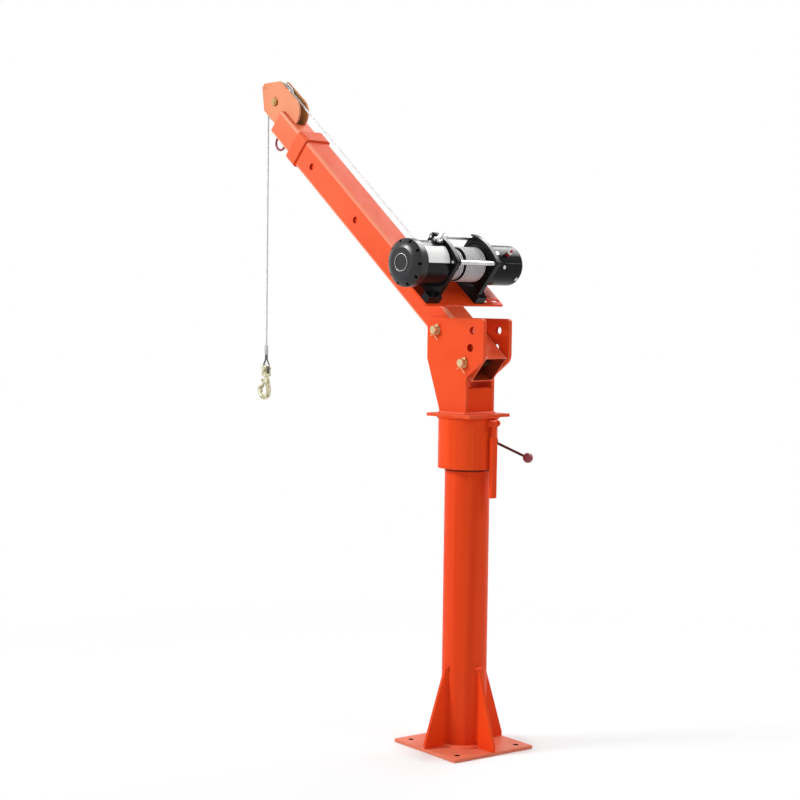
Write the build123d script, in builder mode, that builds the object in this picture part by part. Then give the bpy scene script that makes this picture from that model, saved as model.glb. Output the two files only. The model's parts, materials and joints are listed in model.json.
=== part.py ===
"""Mini slewing crane: bolted post, slewing head, telescopic boom, cable winch and hook."""

import os
from math import acos, asin, atan2, cos, degrees, hypot, pi, radians, sin, sqrt

from build123d import *

os.makedirs("parts", exist_ok=True)

# Fits and seats
run_fit = 0.05
seat = 0.3
side_fit = 0.5
lay_gap = 0.2
cut_past = 2.0

# Base
plate_side = 250.0
plate_t = 8.0
plate_turn = -8.0
base_bolt_spacing = 190.0
base_bolt_hole_r = 7.0
gusset_t = 8.0
gusset_top = 205.0
gusset_tip = 6.0
gusset_toe = 10.0
post_r = 57.0
post_wall = 6.0

# Slewing head
guide_t = 12.0
collar_wall = 6.0
collar_bottom = 712.0
flange_z = 842.0
flange_t = 8.0
flange_side = 150.0
flange_round = 3.0
cap_t = 10.0
race_t = 4.0
race_r_in = 22.0
race_r_out = 48.0
roller_r = 4.0
roller_l = 14.0
roller_count = 10
guide_h = 20.0
guide_inset = 2.0
cage_inset = 2.0
cage_half = 2.4
stub_x = 80.0
stub_wall = 5.0
stub_round = 5.5
stub_h = 63.0
cheek_t = 10.0
cheek_gap = 2.0

# Boom pivot and lock pins
pivot_x = 65.0
pivot_z = 1059.0
boom_angle = 40.0
lock_r = 125.0
lock_steps = (0.0, -20.0, -40.0)
pin_r = 10.0
pin_head_r = 15.0
pin_head_t = 7.0
pin_tail = 16.0
pin_chamfer = 1.5
washer_r = 12.5
washer_t = 2.0
wire_r = 1.2
keeper_lean = 30.0
keeper_eye = 7.5
keeper_short = 10.0
keeper_long = 20.0
keeper_flare = 1.8
keeper_bend = 1.9
keeper_clear = 2.0

# Cheek outline
cheek_front_x = 97.0
cheek_front_z = 986.5
cheek_foot_x = 49.0
cheek_top_rise = 30.0
cheek_back = 162.0
cheek_low_drop = 74.0
cheek_notch_rise = 30.0
cheek_top_round = 10.0
cheek_low_round = 28.0
cheek_notch_round = 10.0

# Slewing brake and handle
brake_z = 774.0
boss_r = 16.0
boss_len = 11.0
boss_root = 20.0
screw_r = 8.0
hub_r = 12.0
hub_t = 16.0
hub_gap = 1.0
hub_chamfer = 1.5
rod_r = 3.5
lever_len = 124.0
lever_dip = 16.0
knob_r = 13.0
handle_off = 11.0
handle_z = 828.5
handle_y = -2.0
handle_w = 18.0
handle_t = 10.0
handle_top = 795.0
handle_bottom = 641.0
strap_w = 12.0
strap_t = 6.0
hinge_r = 4.0
hinge_nut_r = 7.5
hinge_nut_t = 5.5
hinge_head_t = 4.5
hinge_end = 8.0
hinge_wall = 4.0
handle_chamfer = 1.5
lug_t = 3.0
lug_r = 9.0

# Boom tubes
boom_w = 80.0
boom_wall = 5.0
boom_round = 8.0
boom_tail = 165.0
boom_front = 757.0
boom_axis_h = 12.0
band_len = 40.0
band_t = 6.0
hole_step = 230.0
hole_first = 196.0
hole_count = 3
hole_r = 9.0
ext_pin_head_r = 13.0
ext_pin_head_t = 6.0
clip_t = 2.0
clip_r = 12.0
clip_groove = 1.5
clip_mouth = 5.0
inner_fit = 0.5
inner_wall = 5.0
inner_round = 6.0
inner_front = 864.0

# Boom head
head_t = 6.0
head_gap = 24.0
head_rear = 807.0
head_slot_gap = 1.0
nose_reach = 71.0
nose_up = 11.0
nose_down = 3.0
chin_reach = 47.0
chin_down = 25.0
jaw_reach = 23.0
jaw_down = 47.0
throat_reach = 18.0
throat_lap = 4.0
nape_up = 17.0
shoulder_lean = 13.0
shoulder_up = 43.0
crown_top = 53.0
crown_top_up = 56.0
crown_front = 21.0
crown_front_up = 55.0
sheave_s = 918.0
sheave_h = 41.0
sheave_pitch_r = 50.0
sheave_rim_r = 56.0
sheave_w = 16.0
sheave_web_half = 4.0
sheave_hub_t = 6.0
sheave_hub_slope = 3.0
sheave_rim_depth = 12.0
sheave_rim_slope = 6.0
groove_fit = 0.4
groove_flare = 2.5
axle_r = 7.0
bush_wall = 3.0
nut_r = 12.0
nut_t = 6.0
axle_end = 1.5
keeper_r = 3.0
keeper_s = 978.0
keeper_h = 45.0
keeper_end = 1.0
ring_s = 841.0
ring_r = 19.5
ring_wire_r = 3.25
ring_drop = 20.75

# Winch
winch_s = 100.0
winch_rise = 75.0
winch_y = -9.0
winch_plate_t = 6.0
winch_plate_rear = 30.0
winch_plate_front = 170.0
winch_plate_far = -181.0
winch_plate_near = 104.0
slot_len = 28.0
slot_w = 11.0
slot_inset = 17.0
slot_y = (-125.0, -163.0)
drum_space = 130.0
bracket_t = 14.0
bracket_half = 60.0
bracket_top = 66.0
bracket_crown = 13.0
bracket_round = 6.0
recess_r = 55.5
recess_depth = 8.0
near_foot = 33.0
far_foot = 20.0
foot_len = 23.0
foot_reach = 66.0
foot_t = 20.0
foot_bolt_r = 4.0
foot_bolt_end = 9.0
foot_head_r = 7.2
foot_head_t = 5.2
foot_nut_t = 6.5
tie_r = 6.0
tie_end_r = 4.0
tie_s = 51.0
tie_h = 46.0
tie_end = 1.5
tie_nut_r = 7.5
tie_nut_t = 6.0
gear_r = 57.0
gear_len = 84.0
cover_r = 60.5
cover_rim = 20.0
cover_len = 36.0
cover_face_r = 36.5
cover_ring_r = 21.5
cover_ring_half = 1.0
cover_ring_root = 2.0
cover_step = 2.0
cover_dome_out = 9.0
cover_dome_in = 11.0
cover_screws_n = 10
cover_screw_r = 3.6
cover_screw_t = 4.0
cover_screw_inset = 2.0
cover_socket_r = 2.0
pocket_fit = 0.6
motor_r = 52.0
motor_len = 110.0
motor_cap_len = 14.0
motor_face_drop = 16.0
motor_dome_out = 11.0
motor_dome_in = 7.0
strip_lean = 141.0
strip_w = 11.0
strip_rise = 2.0
strip_from = 48.0
terminal_y = -147.0
terminal_leans = (110.0, 350.0)
terminal_r = 6.5
terminal_t = 9.0
stud_r = 3.2
stud_len = 15.0
motor_screw_r = 5.0
motor_screw_t = 3.5
motor_screw_spots = ((107.0, 22.0), (146.0, 41.0), (180.0, 100.0), (326.0, 41.0))
clutch_tilt = 75.0
clutch_y = 88.0
clutch_boss_r = 14.0
clutch_boss_top = 62.0
clutch_stem_r = 4.0
clutch_stem_len = 12.0
clutch_knob_r = 12.0
clutch_knob_t = 6.0
clutch_arm_w = 11.0
clutch_arm_t = 8.0
clutch_arm_len = 22.0
clutch_arm_lean = 25.0

# Drum and rope
rope_r = 2.5
rope_pitch = 5.45
coil_r = 42.0
layer_step = 5.0
drum_flange_r = 53.0
drum_flange_t = 5.0
drum_hub_r = 24.0
drum_sink = 1.0
hub_inset = 1.0
coil_sides = 6
rope_sides = 8

# Hook
ferrule_top = 999.0
ferrule_len = 27.5
ferrule_r = 6.0
ferrule_flat = 0.75
ferrule_chamfer = 1.2
eye_drop = 37.5
eye_r = 12.5
thimble_wall = 1.6
thimble_half = 3.5
clevis_r = 6.0
clevis_head_r = 8.5
clevis_head_t = 3.0
clevis_rivet_r = 8.0
clevis_rivet_t = 2.5
hook_wire_r = 7.2
hook_bowl_r = 18.5
hook_bowl_x = 7.0
hook_bowl_drop = 64.0
hook_tip_angle = 5.0
hook_tip_rise = 8.0
yoke_gap = 1.5
yoke_t = 8.0
ear_t = 5.0
ear_w = 18.0
shank_lap = 2.0
latch_t = 1.5
latch_w = 9.0
latch_pin_r = 2.0
latch_eye_wall = 1.6
latch_lead = 2.0
latch_low = 2.0
latch_room = 4.5
latch_mouth = 8.0
latch_lug_t = 2.0
latch_lug_wall = 2.5
latch_lug_lap = 2.0
latch_stop_drop = 1.0

# Derived levels
collar_r = post_r + guide_t + collar_wall
boss_y = collar_r + boss_len
handle_x = collar_r + handle_off
bearing_h = 2 * race_t + 2 * roller_r + 2 * run_fit
cap_top = flange_z - bearing_h
post_top = cap_top - cap_t
flange_top = flange_z + flange_t
cheek_in = boom_w / 2 + cheek_gap
cheek_out = cheek_in + cheek_t
boom_top_h = boom_axis_h + boom_w / 2
plate_top_h = boom_top_h + winch_plate_t
winch_h = plate_top_h + winch_rise
inner_w = boom_w - 2 * boom_wall - 2 * inner_fit
inner_floor_h = boom_axis_h - inner_w / 2
inner_rear = hole_first + hole_r + seat
near_in = winch_y + drum_space / 2
far_in = winch_y - drum_space / 2
near_out = near_in + bracket_t
far_out = far_in - bracket_t
head_out = head_gap / 2 + head_t
eye_z = ferrule_top - ferrule_len - eye_drop

tilt = radians(boom_angle)
along = Vector(cos(tilt), 0, sin(tilt))
across = Vector(-sin(tilt), 0, cos(tilt))
pivot = Vector(pivot_x, 0, pivot_z)


def boom_point(s, h, y=0.0):
    """Point at s along the boom from its pivot, h square above the pivot line."""
    return pivot + along * s + across * h + Vector(0, y, 0)


def boom_side(y, s=0.0, h=0.0):
    """Plane on the boom's side: x along the boom, y square up, extrusions towards -Y."""
    return Plane(origin=boom_point(s, h, y), x_dir=along, z_dir=(0, -1, 0))


def boom_cut(s, h=0.0):
    """Plane across the boom at s: x along Y, y square up, extrusions along the boom."""
    return Plane(origin=boom_point(s, h), x_dir=(0, 1, 0), z_dir=along)


def head_side(y):
    """Upright plane at y: x along X, y up, extrusions towards -Y."""
    return Plane(origin=(0, y, 0), x_dir=(1, 0, 0), z_dir=(0, -1, 0))


def level(z):
    """Level plane at height z."""
    return Plane(origin=(0, 0, z), x_dir=(1, 0, 0), z_dir=(0, 0, 1))


def save(built, label):
    """Label a finished sub-part and write its file."""
    built.part.label = label
    export_step(built.part, f"parts/{label}.step")


def build_base_plate():
    with BuildPart() as base_plate:
        with BuildSketch(level(0).rotated((0, 0, plate_turn))):
            Rectangle(plate_side, plate_side)
            with GridLocations(base_bolt_spacing, base_bolt_spacing, 2, 2):
                Circle(base_bolt_hole_r, mode=Mode.SUBTRACT)
        extrude(amount=plate_t)
    save(base_plate, "base_plate")


def build_base_gussets():
    with BuildPart() as base_gussets:
        for quarter in range(4):
            turn = radians(plate_turn + 90 * quarter)
            radial = Plane(
                origin=(0, 0, 0),
                x_dir=(cos(turn), sin(turn), 0),
                z_dir=(sin(turn), -cos(turn), 0),
            )
            with BuildSketch(radial):
                Polygon(
                    (post_r, plate_t),
                    (plate_side / 2, plate_t),
                    (plate_side / 2, plate_t + gusset_toe),
                    (post_r + gusset_tip, gusset_top),
                    (post_r, gusset_top),
                    align=None,
                )
            extrude(amount=gusset_t / 2, both=True)
    save(base_gussets, "base_gussets")


def build_post():
    with BuildPart() as post_tube:
        with BuildSketch(level(plate_t)):
            Circle(post_r)
            Circle(post_r - post_wall, mode=Mode.SUBTRACT)
        extrude(amount=post_top - plate_t)
    save(post_tube, "post_tube")

    with BuildPart() as post_cap:
        with BuildSketch(level(post_top)):
            Circle(post_r)
        extrude(amount=cap_t)
    save(post_cap, "post_cap")


def build_bearing():
    mid_r = (race_r_in + race_r_out) / 2
    with BuildPart() as race_lower:
        with BuildSketch(level(cap_top)):
            Circle(race_r_out)
            Circle(race_r_in, mode=Mode.SUBTRACT)
        extrude(amount=race_t)
    save(race_lower, "bearing_race_lower")

    with BuildPart() as race_upper:
        with BuildSketch(level(flange_z - race_t)):
            Circle(race_r_out)
            Circle(race_r_in, mode=Mode.SUBTRACT)
        extrude(amount=race_t)
    save(race_upper, "bearing_race_upper")

    roller_z = cap_top + race_t + run_fit + roller_r
    with BuildPart() as rollers:
        for k in range(roller_count):
            turn = radians(360 / roller_count * k)
            out = Vector(cos(turn), sin(turn), 0)
            start = out * (mid_r - roller_l / 2) + Vector(0, 0, roller_z)
            with BuildSketch(Plane(origin=start, z_dir=out)):
                Circle(roller_r)
            extrude(amount=roller_l)
        with BuildSketch(level(roller_z)):
            Circle(race_r_out - cage_inset)
            Circle(race_r_in + cage_inset, mode=Mode.SUBTRACT)
            with PolarLocations(mid_r, roller_count):
                Rectangle(roller_l + 2 * run_fit, 2 * (roller_r + run_fit), mode=Mode.SUBTRACT)
        extrude(amount=cage_half, both=True)
    save(rollers, "bearing_rollers")


def build_collar():
    inner_r = collar_r - collar_wall
    with BuildPart() as guides:
        for z in (collar_bottom + guide_inset, post_top - guide_h - guide_inset):
            with BuildSketch(level(z)):
                Circle(inner_r)
                Circle(post_r + run_fit, mode=Mode.SUBTRACT)
            extrude(amount=guide_h)
    save(guides, "slew_guide_rings")

    with BuildPart() as collar:
        with BuildSketch(level(collar_bottom)):
            Circle(collar_r)
            Circle(inner_r, mode=Mode.SUBTRACT)
        extrude(amount=flange_z - collar_bottom)
        with BuildSketch(head_side(0)):
            with Locations((0, brake_z)):
                Circle(screw_r + run_fit)
        extrude(amount=boss_y, mode=Mode.SUBTRACT)
    save(collar, "slew_collar")

    with BuildPart() as flange:
        with BuildSketch(level(flange_z)):
            RectangleRounded(flange_side, flange_side, flange_round)
        extrude(amount=flange_t)
    save(flange, "head_flange")

    with BuildPart() as stub:
        with BuildSketch(level(flange_top)):
            RectangleRounded(stub_x, 2 * cheek_in, stub_round)
            RectangleRounded(
                stub_x - 2 * stub_wall,
                2 * (cheek_in - stub_wall),
                stub_round - stub_wall,
                mode=Mode.SUBTRACT,
            )
        extrude(amount=stub_h)
    save(stub, "head_stub_tube")


def lock_hole(step):
    """Centre in X and Z of a lock hole, step degrees about the pivot from the set one."""
    turn = radians(180 + boom_angle + step)
    return pivot_x + lock_r * cos(turn), pivot_z + lock_r * sin(turn)


def build_cheek(label, y):
    top_z = pivot_z + cheek_top_rise
    rear_x = pivot_x - cheek_back
    low_z = pivot_z - cheek_low_drop
    notch_z = flange_top + stub_h + cheek_notch_rise
    with BuildPart() as cheek:
        with BuildSketch(head_side(y)):
            Polygon(
                (rear_x, top_z),
                (cheek_front_x, top_z),
                (cheek_front_x, cheek_front_z),
                (cheek_foot_x, flange_top),
                (-stub_x / 2, flange_top),
                (-stub_x / 2, notch_z),
                (rear_x, low_z),
                align=None,
            )
            with Locations((pivot_x, pivot_z)):
                Circle(pin_r + run_fit, mode=Mode.SUBTRACT)
            for step in lock_steps:
                with Locations(lock_hole(step)):
                    Circle(pin_r + run_fit, mode=Mode.SUBTRACT)
        extrude(amount=cheek_t)
        uprights = cheek.edges().filter_by(Axis.Y)
        rear_top = uprights.sort_by_distance((rear_x, y, top_z))[0]
        rear_low = uprights.sort_by_distance((rear_x, y, low_z))[0]
        notch = uprights.sort_by_distance((-stub_x / 2, y, notch_z))[0]
        fillet(rear_top, cheek_top_round)
        fillet(rear_low, cheek_low_round)
        fillet(notch, cheek_notch_round)
    save(cheek, label)


def pin_body(label, x, z):
    """Headed pin through both cheeks at (x, z), drilled for a split pin at its near end."""
    with BuildPart() as pin:
        with BuildSketch(head_side(-cheek_out)):
            with Locations((x, z)):
                Circle(pin_head_r)
        extrude(amount=pin_head_t)
        with BuildSketch(head_side(cheek_out + pin_tail)):
            with Locations((x, z)):
                Circle(pin_r)
        extrude(amount=2 * cheek_out + pin_tail)
        tip = pin.faces().sort_by(Axis.Y)[-1].edges()
        chamfer(tip, pin_chamfer)
        bend = keeper_plane(x, z)
        with BuildSketch(Plane(origin=bend.origin, z_dir=bend.y_dir)):
            Circle(2 * wire_r + 2 * run_fit)
        extrude(amount=pin_r, both=True, mode=Mode.SUBTRACT)
    save(pin, label)


def split_y():
    """Y of the split pin, clear of the washer."""
    return cheek_out + washer_t + 2 * wire_r + keeper_clear


def keeper_plane(x, z):
    """Plane of the split pin of the pin at (x, z): y along its legs, leaning back."""
    lean = radians(keeper_lean)
    return Plane(origin=(x, split_y(), z), x_dir=(cos(lean), 0, sin(lean)), z_dir=(0, -1, 0))


def pin_keeper(label, x, z):
    """Washer on the near cheek and split pin: a small eye, one short leg and one long one."""
    leg = wire_r + run_fit
    wide = leg + keeper_flare
    foot = -pin_r - 2 * wire_r
    with BuildPart() as keeper:
        with BuildSketch(head_side(cheek_out + washer_t)):
            with Locations((x, z)):
                Circle(washer_r)
                Circle(pin_r + run_fit, mode=Mode.SUBTRACT)
        extrude(amount=washer_t)
        with BuildLine(keeper_plane(x, z)) as path:
            FilletPolyline(
                (leg + keeper_short / 2, foot - keeper_short),
                (leg, foot),
                (leg, pin_r + wire_r),
                (wide, pin_r + keeper_eye / 2),
                (0, pin_r + keeper_eye),
                (-wide, pin_r + keeper_eye / 2),
                (-leg, pin_r + wire_r),
                (-leg, foot),
                (-leg - keeper_long, foot - keeper_long / 4),
                radius=keeper_bend,
            )
        with BuildSketch(Plane(origin=path.line @ 0, z_dir=path.line % 0)):
            RegularPolygon(wire_r, 6)
        sweep()
    save(keeper, label)


def build_pins():
    x, z = lock_hole(0.0)
    pin_body("pivot_pin", pivot_x, pivot_z)
    pin_keeper("pivot_keeper", pivot_x, pivot_z)
    pin_body("lock_pin", x, z)
    pin_keeper("lock_keeper", x, z)


def build_brake():
    hub_mid_y = boss_y + hub_gap + hub_t / 2
    dip = radians(lever_dip)
    reach = Vector(-cos(dip), 0, -sin(dip))
    centre = Vector(0, -hub_mid_y, brake_z)
    with BuildPart() as boss:
        with BuildSketch(head_side(boss_root - collar_r)):
            with Locations((0, brake_z)):
                Circle(boss_r)
                Circle(screw_r + run_fit, mode=Mode.SUBTRACT)
        extrude(amount=boss_len + boss_root)
        with BuildSketch(level(collar_bottom)):
            Circle(collar_r)
        extrude(amount=flange_z - collar_bottom, mode=Mode.SUBTRACT)
    save(boss, "brake_boss")

    with BuildPart() as screw:
        with BuildSketch(head_side(-post_r - seat)):
            with Locations((0, brake_z)):
                Circle(screw_r)
        extrude(amount=boss_y + hub_gap - post_r - seat)
        with BuildSketch(head_side(-boss_y - hub_gap)):
            with Locations((0, brake_z)):
                Circle(hub_r)
        extrude(amount=hub_t)
        chamfer(screw.faces().sort_by(Axis.Y)[0].edges(), hub_chamfer)
        with BuildSketch(Plane(origin=centre, z_dir=reach)):
            Circle(rod_r + 2 * run_fit)
        extrude(amount=hub_r + cut_past, mode=Mode.SUBTRACT)
    save(screw, "brake_screw")

    with BuildPart() as rod:
        with BuildSketch(Plane(origin=centre, z_dir=reach)):
            Circle(rod_r)
        extrude(amount=lever_len)
    save(rod, "brake_lever_rod")

    with BuildPart() as knob:
        ball = Plane(origin=centre + reach * lever_len, x_dir=reach, z_dir=(0, 1, 0))
        with BuildSketch(ball):
            Circle(knob_r)
            with Locations((0, -knob_r)):
                Rectangle(2 * knob_r, 2 * knob_r, mode=Mode.SUBTRACT)
            with Locations(((seat - knob_r) / 2, 0)):
                Rectangle(knob_r + seat, 2 * (rod_r + 2 * run_fit), mode=Mode.SUBTRACT)
        revolve(axis=Axis(origin=centre, direction=reach))
    save(knob, "brake_knob")


def build_handle():
    lug_in = handle_w / 2 + seat
    with BuildPart() as lugs:
        for y in (handle_y + lug_in + lug_t, handle_y - lug_in):
            with BuildSketch(head_side(y)):
                with Locations((-handle_x, handle_z)):
                    Circle(lug_r)
                with Locations((-handle_x / 2, handle_z)):
                    Rectangle(handle_x, 2 * lug_r)
                with Locations((-handle_x, handle_z)):
                    Circle(hinge_r + run_fit, mode=Mode.SUBTRACT)
            extrude(amount=lug_t)
        with BuildSketch(level(collar_bottom)):
            Circle(collar_r)
        extrude(amount=flange_z - collar_bottom, mode=Mode.SUBTRACT)
    save(lugs, "handle_lugs")

    out = lug_in + lug_t
    with BuildPart() as bolt:
        with BuildSketch(head_side(handle_y + out + hinge_head_t)):
            with Locations((-handle_x, handle_z)):
                RegularPolygon(hinge_nut_r, 6)
        extrude(amount=hinge_head_t)
        with BuildSketch(head_side(handle_y + out)):
            with Locations((-handle_x, handle_z)):
                Circle(hinge_r)
        extrude(amount=2 * out + hinge_end)
        with BuildSketch(head_side(handle_y - out)):
            with Locations((-handle_x, handle_z)):
                RegularPolygon(hinge_nut_r, 6)
                Circle(hinge_r + run_fit, mode=Mode.SUBTRACT)
        extrude(amount=hinge_nut_t)
    save(bolt, "handle_bolt")

    with BuildPart() as handle:
        with BuildSketch(head_side(handle_y + strap_w / 2)):
            with Locations((-handle_x, handle_z)):
                Circle(hinge_r + hinge_wall)
            with Locations((-handle_x, (handle_z + handle_top) / 2)):
                Rectangle(strap_t, handle_z - handle_top)
            with Locations((-handle_x, handle_z)):
                Circle(hinge_r + run_fit, mode=Mode.SUBTRACT)
        extrude(amount=strap_w)
        with BuildSketch(level(handle_bottom)):
            with Locations((-handle_x, handle_y)):
                Rectangle(handle_t, handle_w)
        extrude(amount=handle_top - handle_bottom)
        chamfer(handle.faces().sort_by(Axis.Z)[0].edges(), handle_chamfer)
    save(handle, "slewing_handle")


def hole_stations():
    """Distances along the boom of the extension holes."""
    return [hole_first + hole_step * k for k in range(hole_count)]


def build_boom():
    with BuildPart() as outer:
        with BuildSketch(boom_cut(-boom_tail, boom_axis_h)):
            RectangleRounded(boom_w, boom_w, boom_round)
            inside = boom_w - 2 * boom_wall
            RectangleRounded(inside, inside, boom_round - boom_wall, mode=Mode.SUBTRACT)
        extrude(amount=boom_tail + boom_front)
        with BuildSketch(boom_side(0)):
            Circle(pin_r + run_fit)
            with Locations((-lock_r, 0)):
                Circle(pin_r + run_fit)
            for s in hole_stations():
                with Locations((s, boom_axis_h)):
                    Circle(hole_r)
        extrude(amount=boom_w, both=True, mode=Mode.SUBTRACT)
    save(outer, "boom_outer_tube")

    with BuildPart() as band:
        with BuildSketch(boom_cut(boom_front - band_len, boom_axis_h)):
            RectangleRounded(boom_w + 2 * band_t, boom_w + 2 * band_t, boom_round + band_t)
            RectangleRounded(boom_w, boom_w, boom_round, mode=Mode.SUBTRACT)
        extrude(amount=band_len)
    save(band, "boom_mouth_band")

    half = boom_w / 2
    ext_r = hole_r - run_fit
    with BuildPart() as ext_pin:
        with BuildSketch(boom_side(half + ext_pin_head_t, hole_first, boom_axis_h)):
            Circle(ext_pin_head_r)
        extrude(amount=ext_pin_head_t)
        with BuildSketch(boom_side(half, hole_first, boom_axis_h)):
            Circle(ext_r)
        extrude(amount=2 * half + 3 * clip_t)
        with BuildSketch(boom_side(-half, hole_first, boom_axis_h)):
            Circle(ext_r + cut_past)
            Circle(ext_r - clip_groove, mode=Mode.SUBTRACT)
        extrude(amount=clip_t, mode=Mode.SUBTRACT)
        with BuildSketch(boom_side(-half - run_fit, hole_first, boom_axis_h)):
            Circle(clip_r)
            Circle(ext_r - clip_groove + 2 * run_fit, mode=Mode.SUBTRACT)
            with Locations((0, -clip_r / 2)):
                Rectangle(clip_mouth, clip_r + cut_past, mode=Mode.SUBTRACT)
        extrude(amount=clip_t - 2 * run_fit)
    save(ext_pin, "extension_pin")


def build_inner_boom():
    with BuildPart() as inner:
        with BuildSketch(boom_cut(inner_rear, boom_axis_h)):
            RectangleRounded(inner_w, inner_w, inner_round)
            inside = inner_w - 2 * inner_wall
            RectangleRounded(inside, inside, inner_round - inner_wall, mode=Mode.SUBTRACT)
        extrude(amount=inner_front - inner_rear)
        slot_rear = head_rear - head_slot_gap
        with BuildSketch(boom_cut(slot_rear, boom_axis_h + inner_w / 2)):
            Rectangle(2 * (head_out + side_fit), 4 * inner_wall)
        extrude(amount=inner_front - slot_rear, mode=Mode.SUBTRACT)
    save(inner, "boom_inner_tube")


def head_plate(label, y):
    floor = inner_floor_h + inner_wall
    with BuildPart() as plate:
        with BuildSketch(boom_side(y)):
            with BuildLine():
                Polyline(
                    (head_rear + crown_top, sheave_h + crown_top_up),
                    (sheave_s + crown_front, sheave_h + crown_front_up),
                    (sheave_s + nose_reach, sheave_h + nose_up),
                    (sheave_s + nose_reach, sheave_h - nose_down),
                    (sheave_s + chin_reach, sheave_h - chin_down),
                    (sheave_s + jaw_reach, sheave_h - jaw_down),
                    (inner_front + throat_reach, sheave_h - jaw_down),
                    (inner_front - throat_lap, floor),
                    (head_rear, floor),
                    (head_rear, sheave_h + nape_up),
                )
                ThreePointArc(
                    (head_rear, sheave_h + nape_up),
                    (head_rear + shoulder_lean, sheave_h + shoulder_up),
                    (head_rear + crown_top, sheave_h + crown_top_up),
                )
            make_face()
            with Locations((sheave_s, sheave_h)):
                Circle(axle_r + run_fit, mode=Mode.SUBTRACT)
            with Locations((keeper_s, keeper_h)):
                Circle(keeper_r + run_fit, mode=Mode.SUBTRACT)
        extrude(amount=head_t)
    save(plate, label)


def build_sheave():
    bore = axle_r + run_fit
    half = head_gap / 2 - side_fit
    groove_r = rope_r + groove_fit
    hub_top = bore + bush_wall + sheave_hub_t
    web_top = sheave_pitch_r - sheave_rim_depth
    axis_plane = Plane(origin=boom_point(sheave_s, sheave_h), x_dir=(0, 1, 0), z_dir=along)
    axle_line = Axis(origin=boom_point(sheave_s, sheave_h), direction=(0, 1, 0))
    with BuildPart() as sheave:
        with BuildSketch(axis_plane):
            with BuildLine():
                Polyline(
                    (0, sheave_pitch_r - groove_r),
                    (0, bore + bush_wall),
                    (half, bore + bush_wall),
                    (half, hub_top),
                    (sheave_web_half, hub_top + sheave_hub_slope),
                    (sheave_web_half, web_top),
                    (sheave_w / 2, web_top + sheave_rim_slope),
                    (sheave_w / 2, sheave_rim_r),
                    (groove_r + groove_flare, sheave_rim_r),
                    (groove_r, sheave_pitch_r),
                )
                CenterArc((0, sheave_pitch_r), groove_r, 0, -90)
            make_face()
            mirror(about=Plane.YZ)
        revolve(axis=axle_line)
    save(sheave, "sheave")

    with BuildPart() as bush:
        with BuildSketch(boom_side(half, sheave_s, sheave_h)):
            Circle(bore + bush_wall)
            Circle(bore, mode=Mode.SUBTRACT)
        extrude(amount=2 * half)
    save(bush, "sheave_bush")

    with BuildPart() as axle:
        with BuildSketch(boom_side(-head_out, sheave_s, sheave_h)):
            RegularPolygon(nut_r, 6)
        extrude(amount=nut_t)
        with BuildSketch(boom_side(head_out + nut_t + axle_end, sheave_s, sheave_h)):
            Circle(axle_r)
        extrude(amount=2 * head_out + nut_t + axle_end)
        with BuildSketch(boom_side(head_out + nut_t, sheave_s, sheave_h)):
            RegularPolygon(nut_r, 6)
            Circle(axle_r + run_fit, mode=Mode.SUBTRACT)
        extrude(amount=nut_t)
    save(axle, "sheave_axle_bolt")

    with BuildPart() as keeper:
        with BuildSketch(boom_side(head_out + keeper_end, keeper_s, keeper_h)):
            Circle(keeper_r)
        extrude(amount=2 * (head_out + keeper_end))
    save(keeper, "rope_keeper_pin")


def build_lashing_ring():
    ring_h = inner_floor_h - ring_drop
    centre = boom_point(ring_s, ring_h)
    with BuildPart() as ring:
        with BuildSketch(Plane(origin=centre, x_dir=along, z_dir=across)):
            with Locations((ring_r, 0)):
                RegularPolygon(ring_wire_r, 10)
        revolve(axis=Axis(origin=centre, direction=(0, 1, 0)))
        with BuildSketch(boom_side(0, ring_s, inner_floor_h + ring_r)):
            Rectangle(4 * ring_r, 2 * ring_r)
        extrude(amount=2 * ring_wire_r, both=True, mode=Mode.SUBTRACT)
    save(ring, "lashing_ring")


def winch_side(y):
    """Plane on the winch axis at y: x along the boom, y square up, extrusions towards -Y."""
    return boom_side(y, winch_s, winch_h)


def winch_axial(y):
    """Plane through the winch axis from y: x along Y, y square up from the axis."""
    return Plane(origin=boom_point(winch_s, winch_h, y), x_dir=(0, 1, 0), z_dir=along)


winch_line = Axis(origin=boom_point(winch_s, winch_h), direction=(0, 1, 0))


def foot_bolt_places():
    """Places along the boom and across it of the four foot bolts."""
    near_y = near_out + near_foot / 2
    far_y = far_out - far_foot / 2
    reach = foot_reach - foot_len / 2
    return [(winch_s + e * reach, y) for y in (near_y, far_y) for e in (-1, 1)]


def plate_level(h):
    """Plane square to the boom's top at h: x along the boom, y along Y, extrusions upward."""
    return Plane(origin=boom_point(0, h), x_dir=along, z_dir=across)


def build_winch_plate():
    mid_s = (winch_plate_rear + winch_plate_front) / 2
    mid_y = (winch_plate_near + winch_plate_far) / 2
    length = winch_plate_front - winch_plate_rear
    with BuildPart() as plate:
        with BuildSketch(plate_level(boom_top_h)):
            with Locations((mid_s, mid_y)):
                Rectangle(length, winch_plate_near - winch_plate_far)
            for y in slot_y:
                for s in (winch_plate_rear + slot_inset, winch_plate_front - slot_inset):
                    with Locations((s, y)):
                        SlotOverall(slot_len, slot_w, rotation=90, mode=Mode.SUBTRACT)
            for place in foot_bolt_places():
                with Locations(place):
                    Circle(foot_bolt_r + run_fit, mode=Mode.SUBTRACT)
        extrude(amount=winch_plate_t)
    save(plate, "winch_plate")


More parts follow.
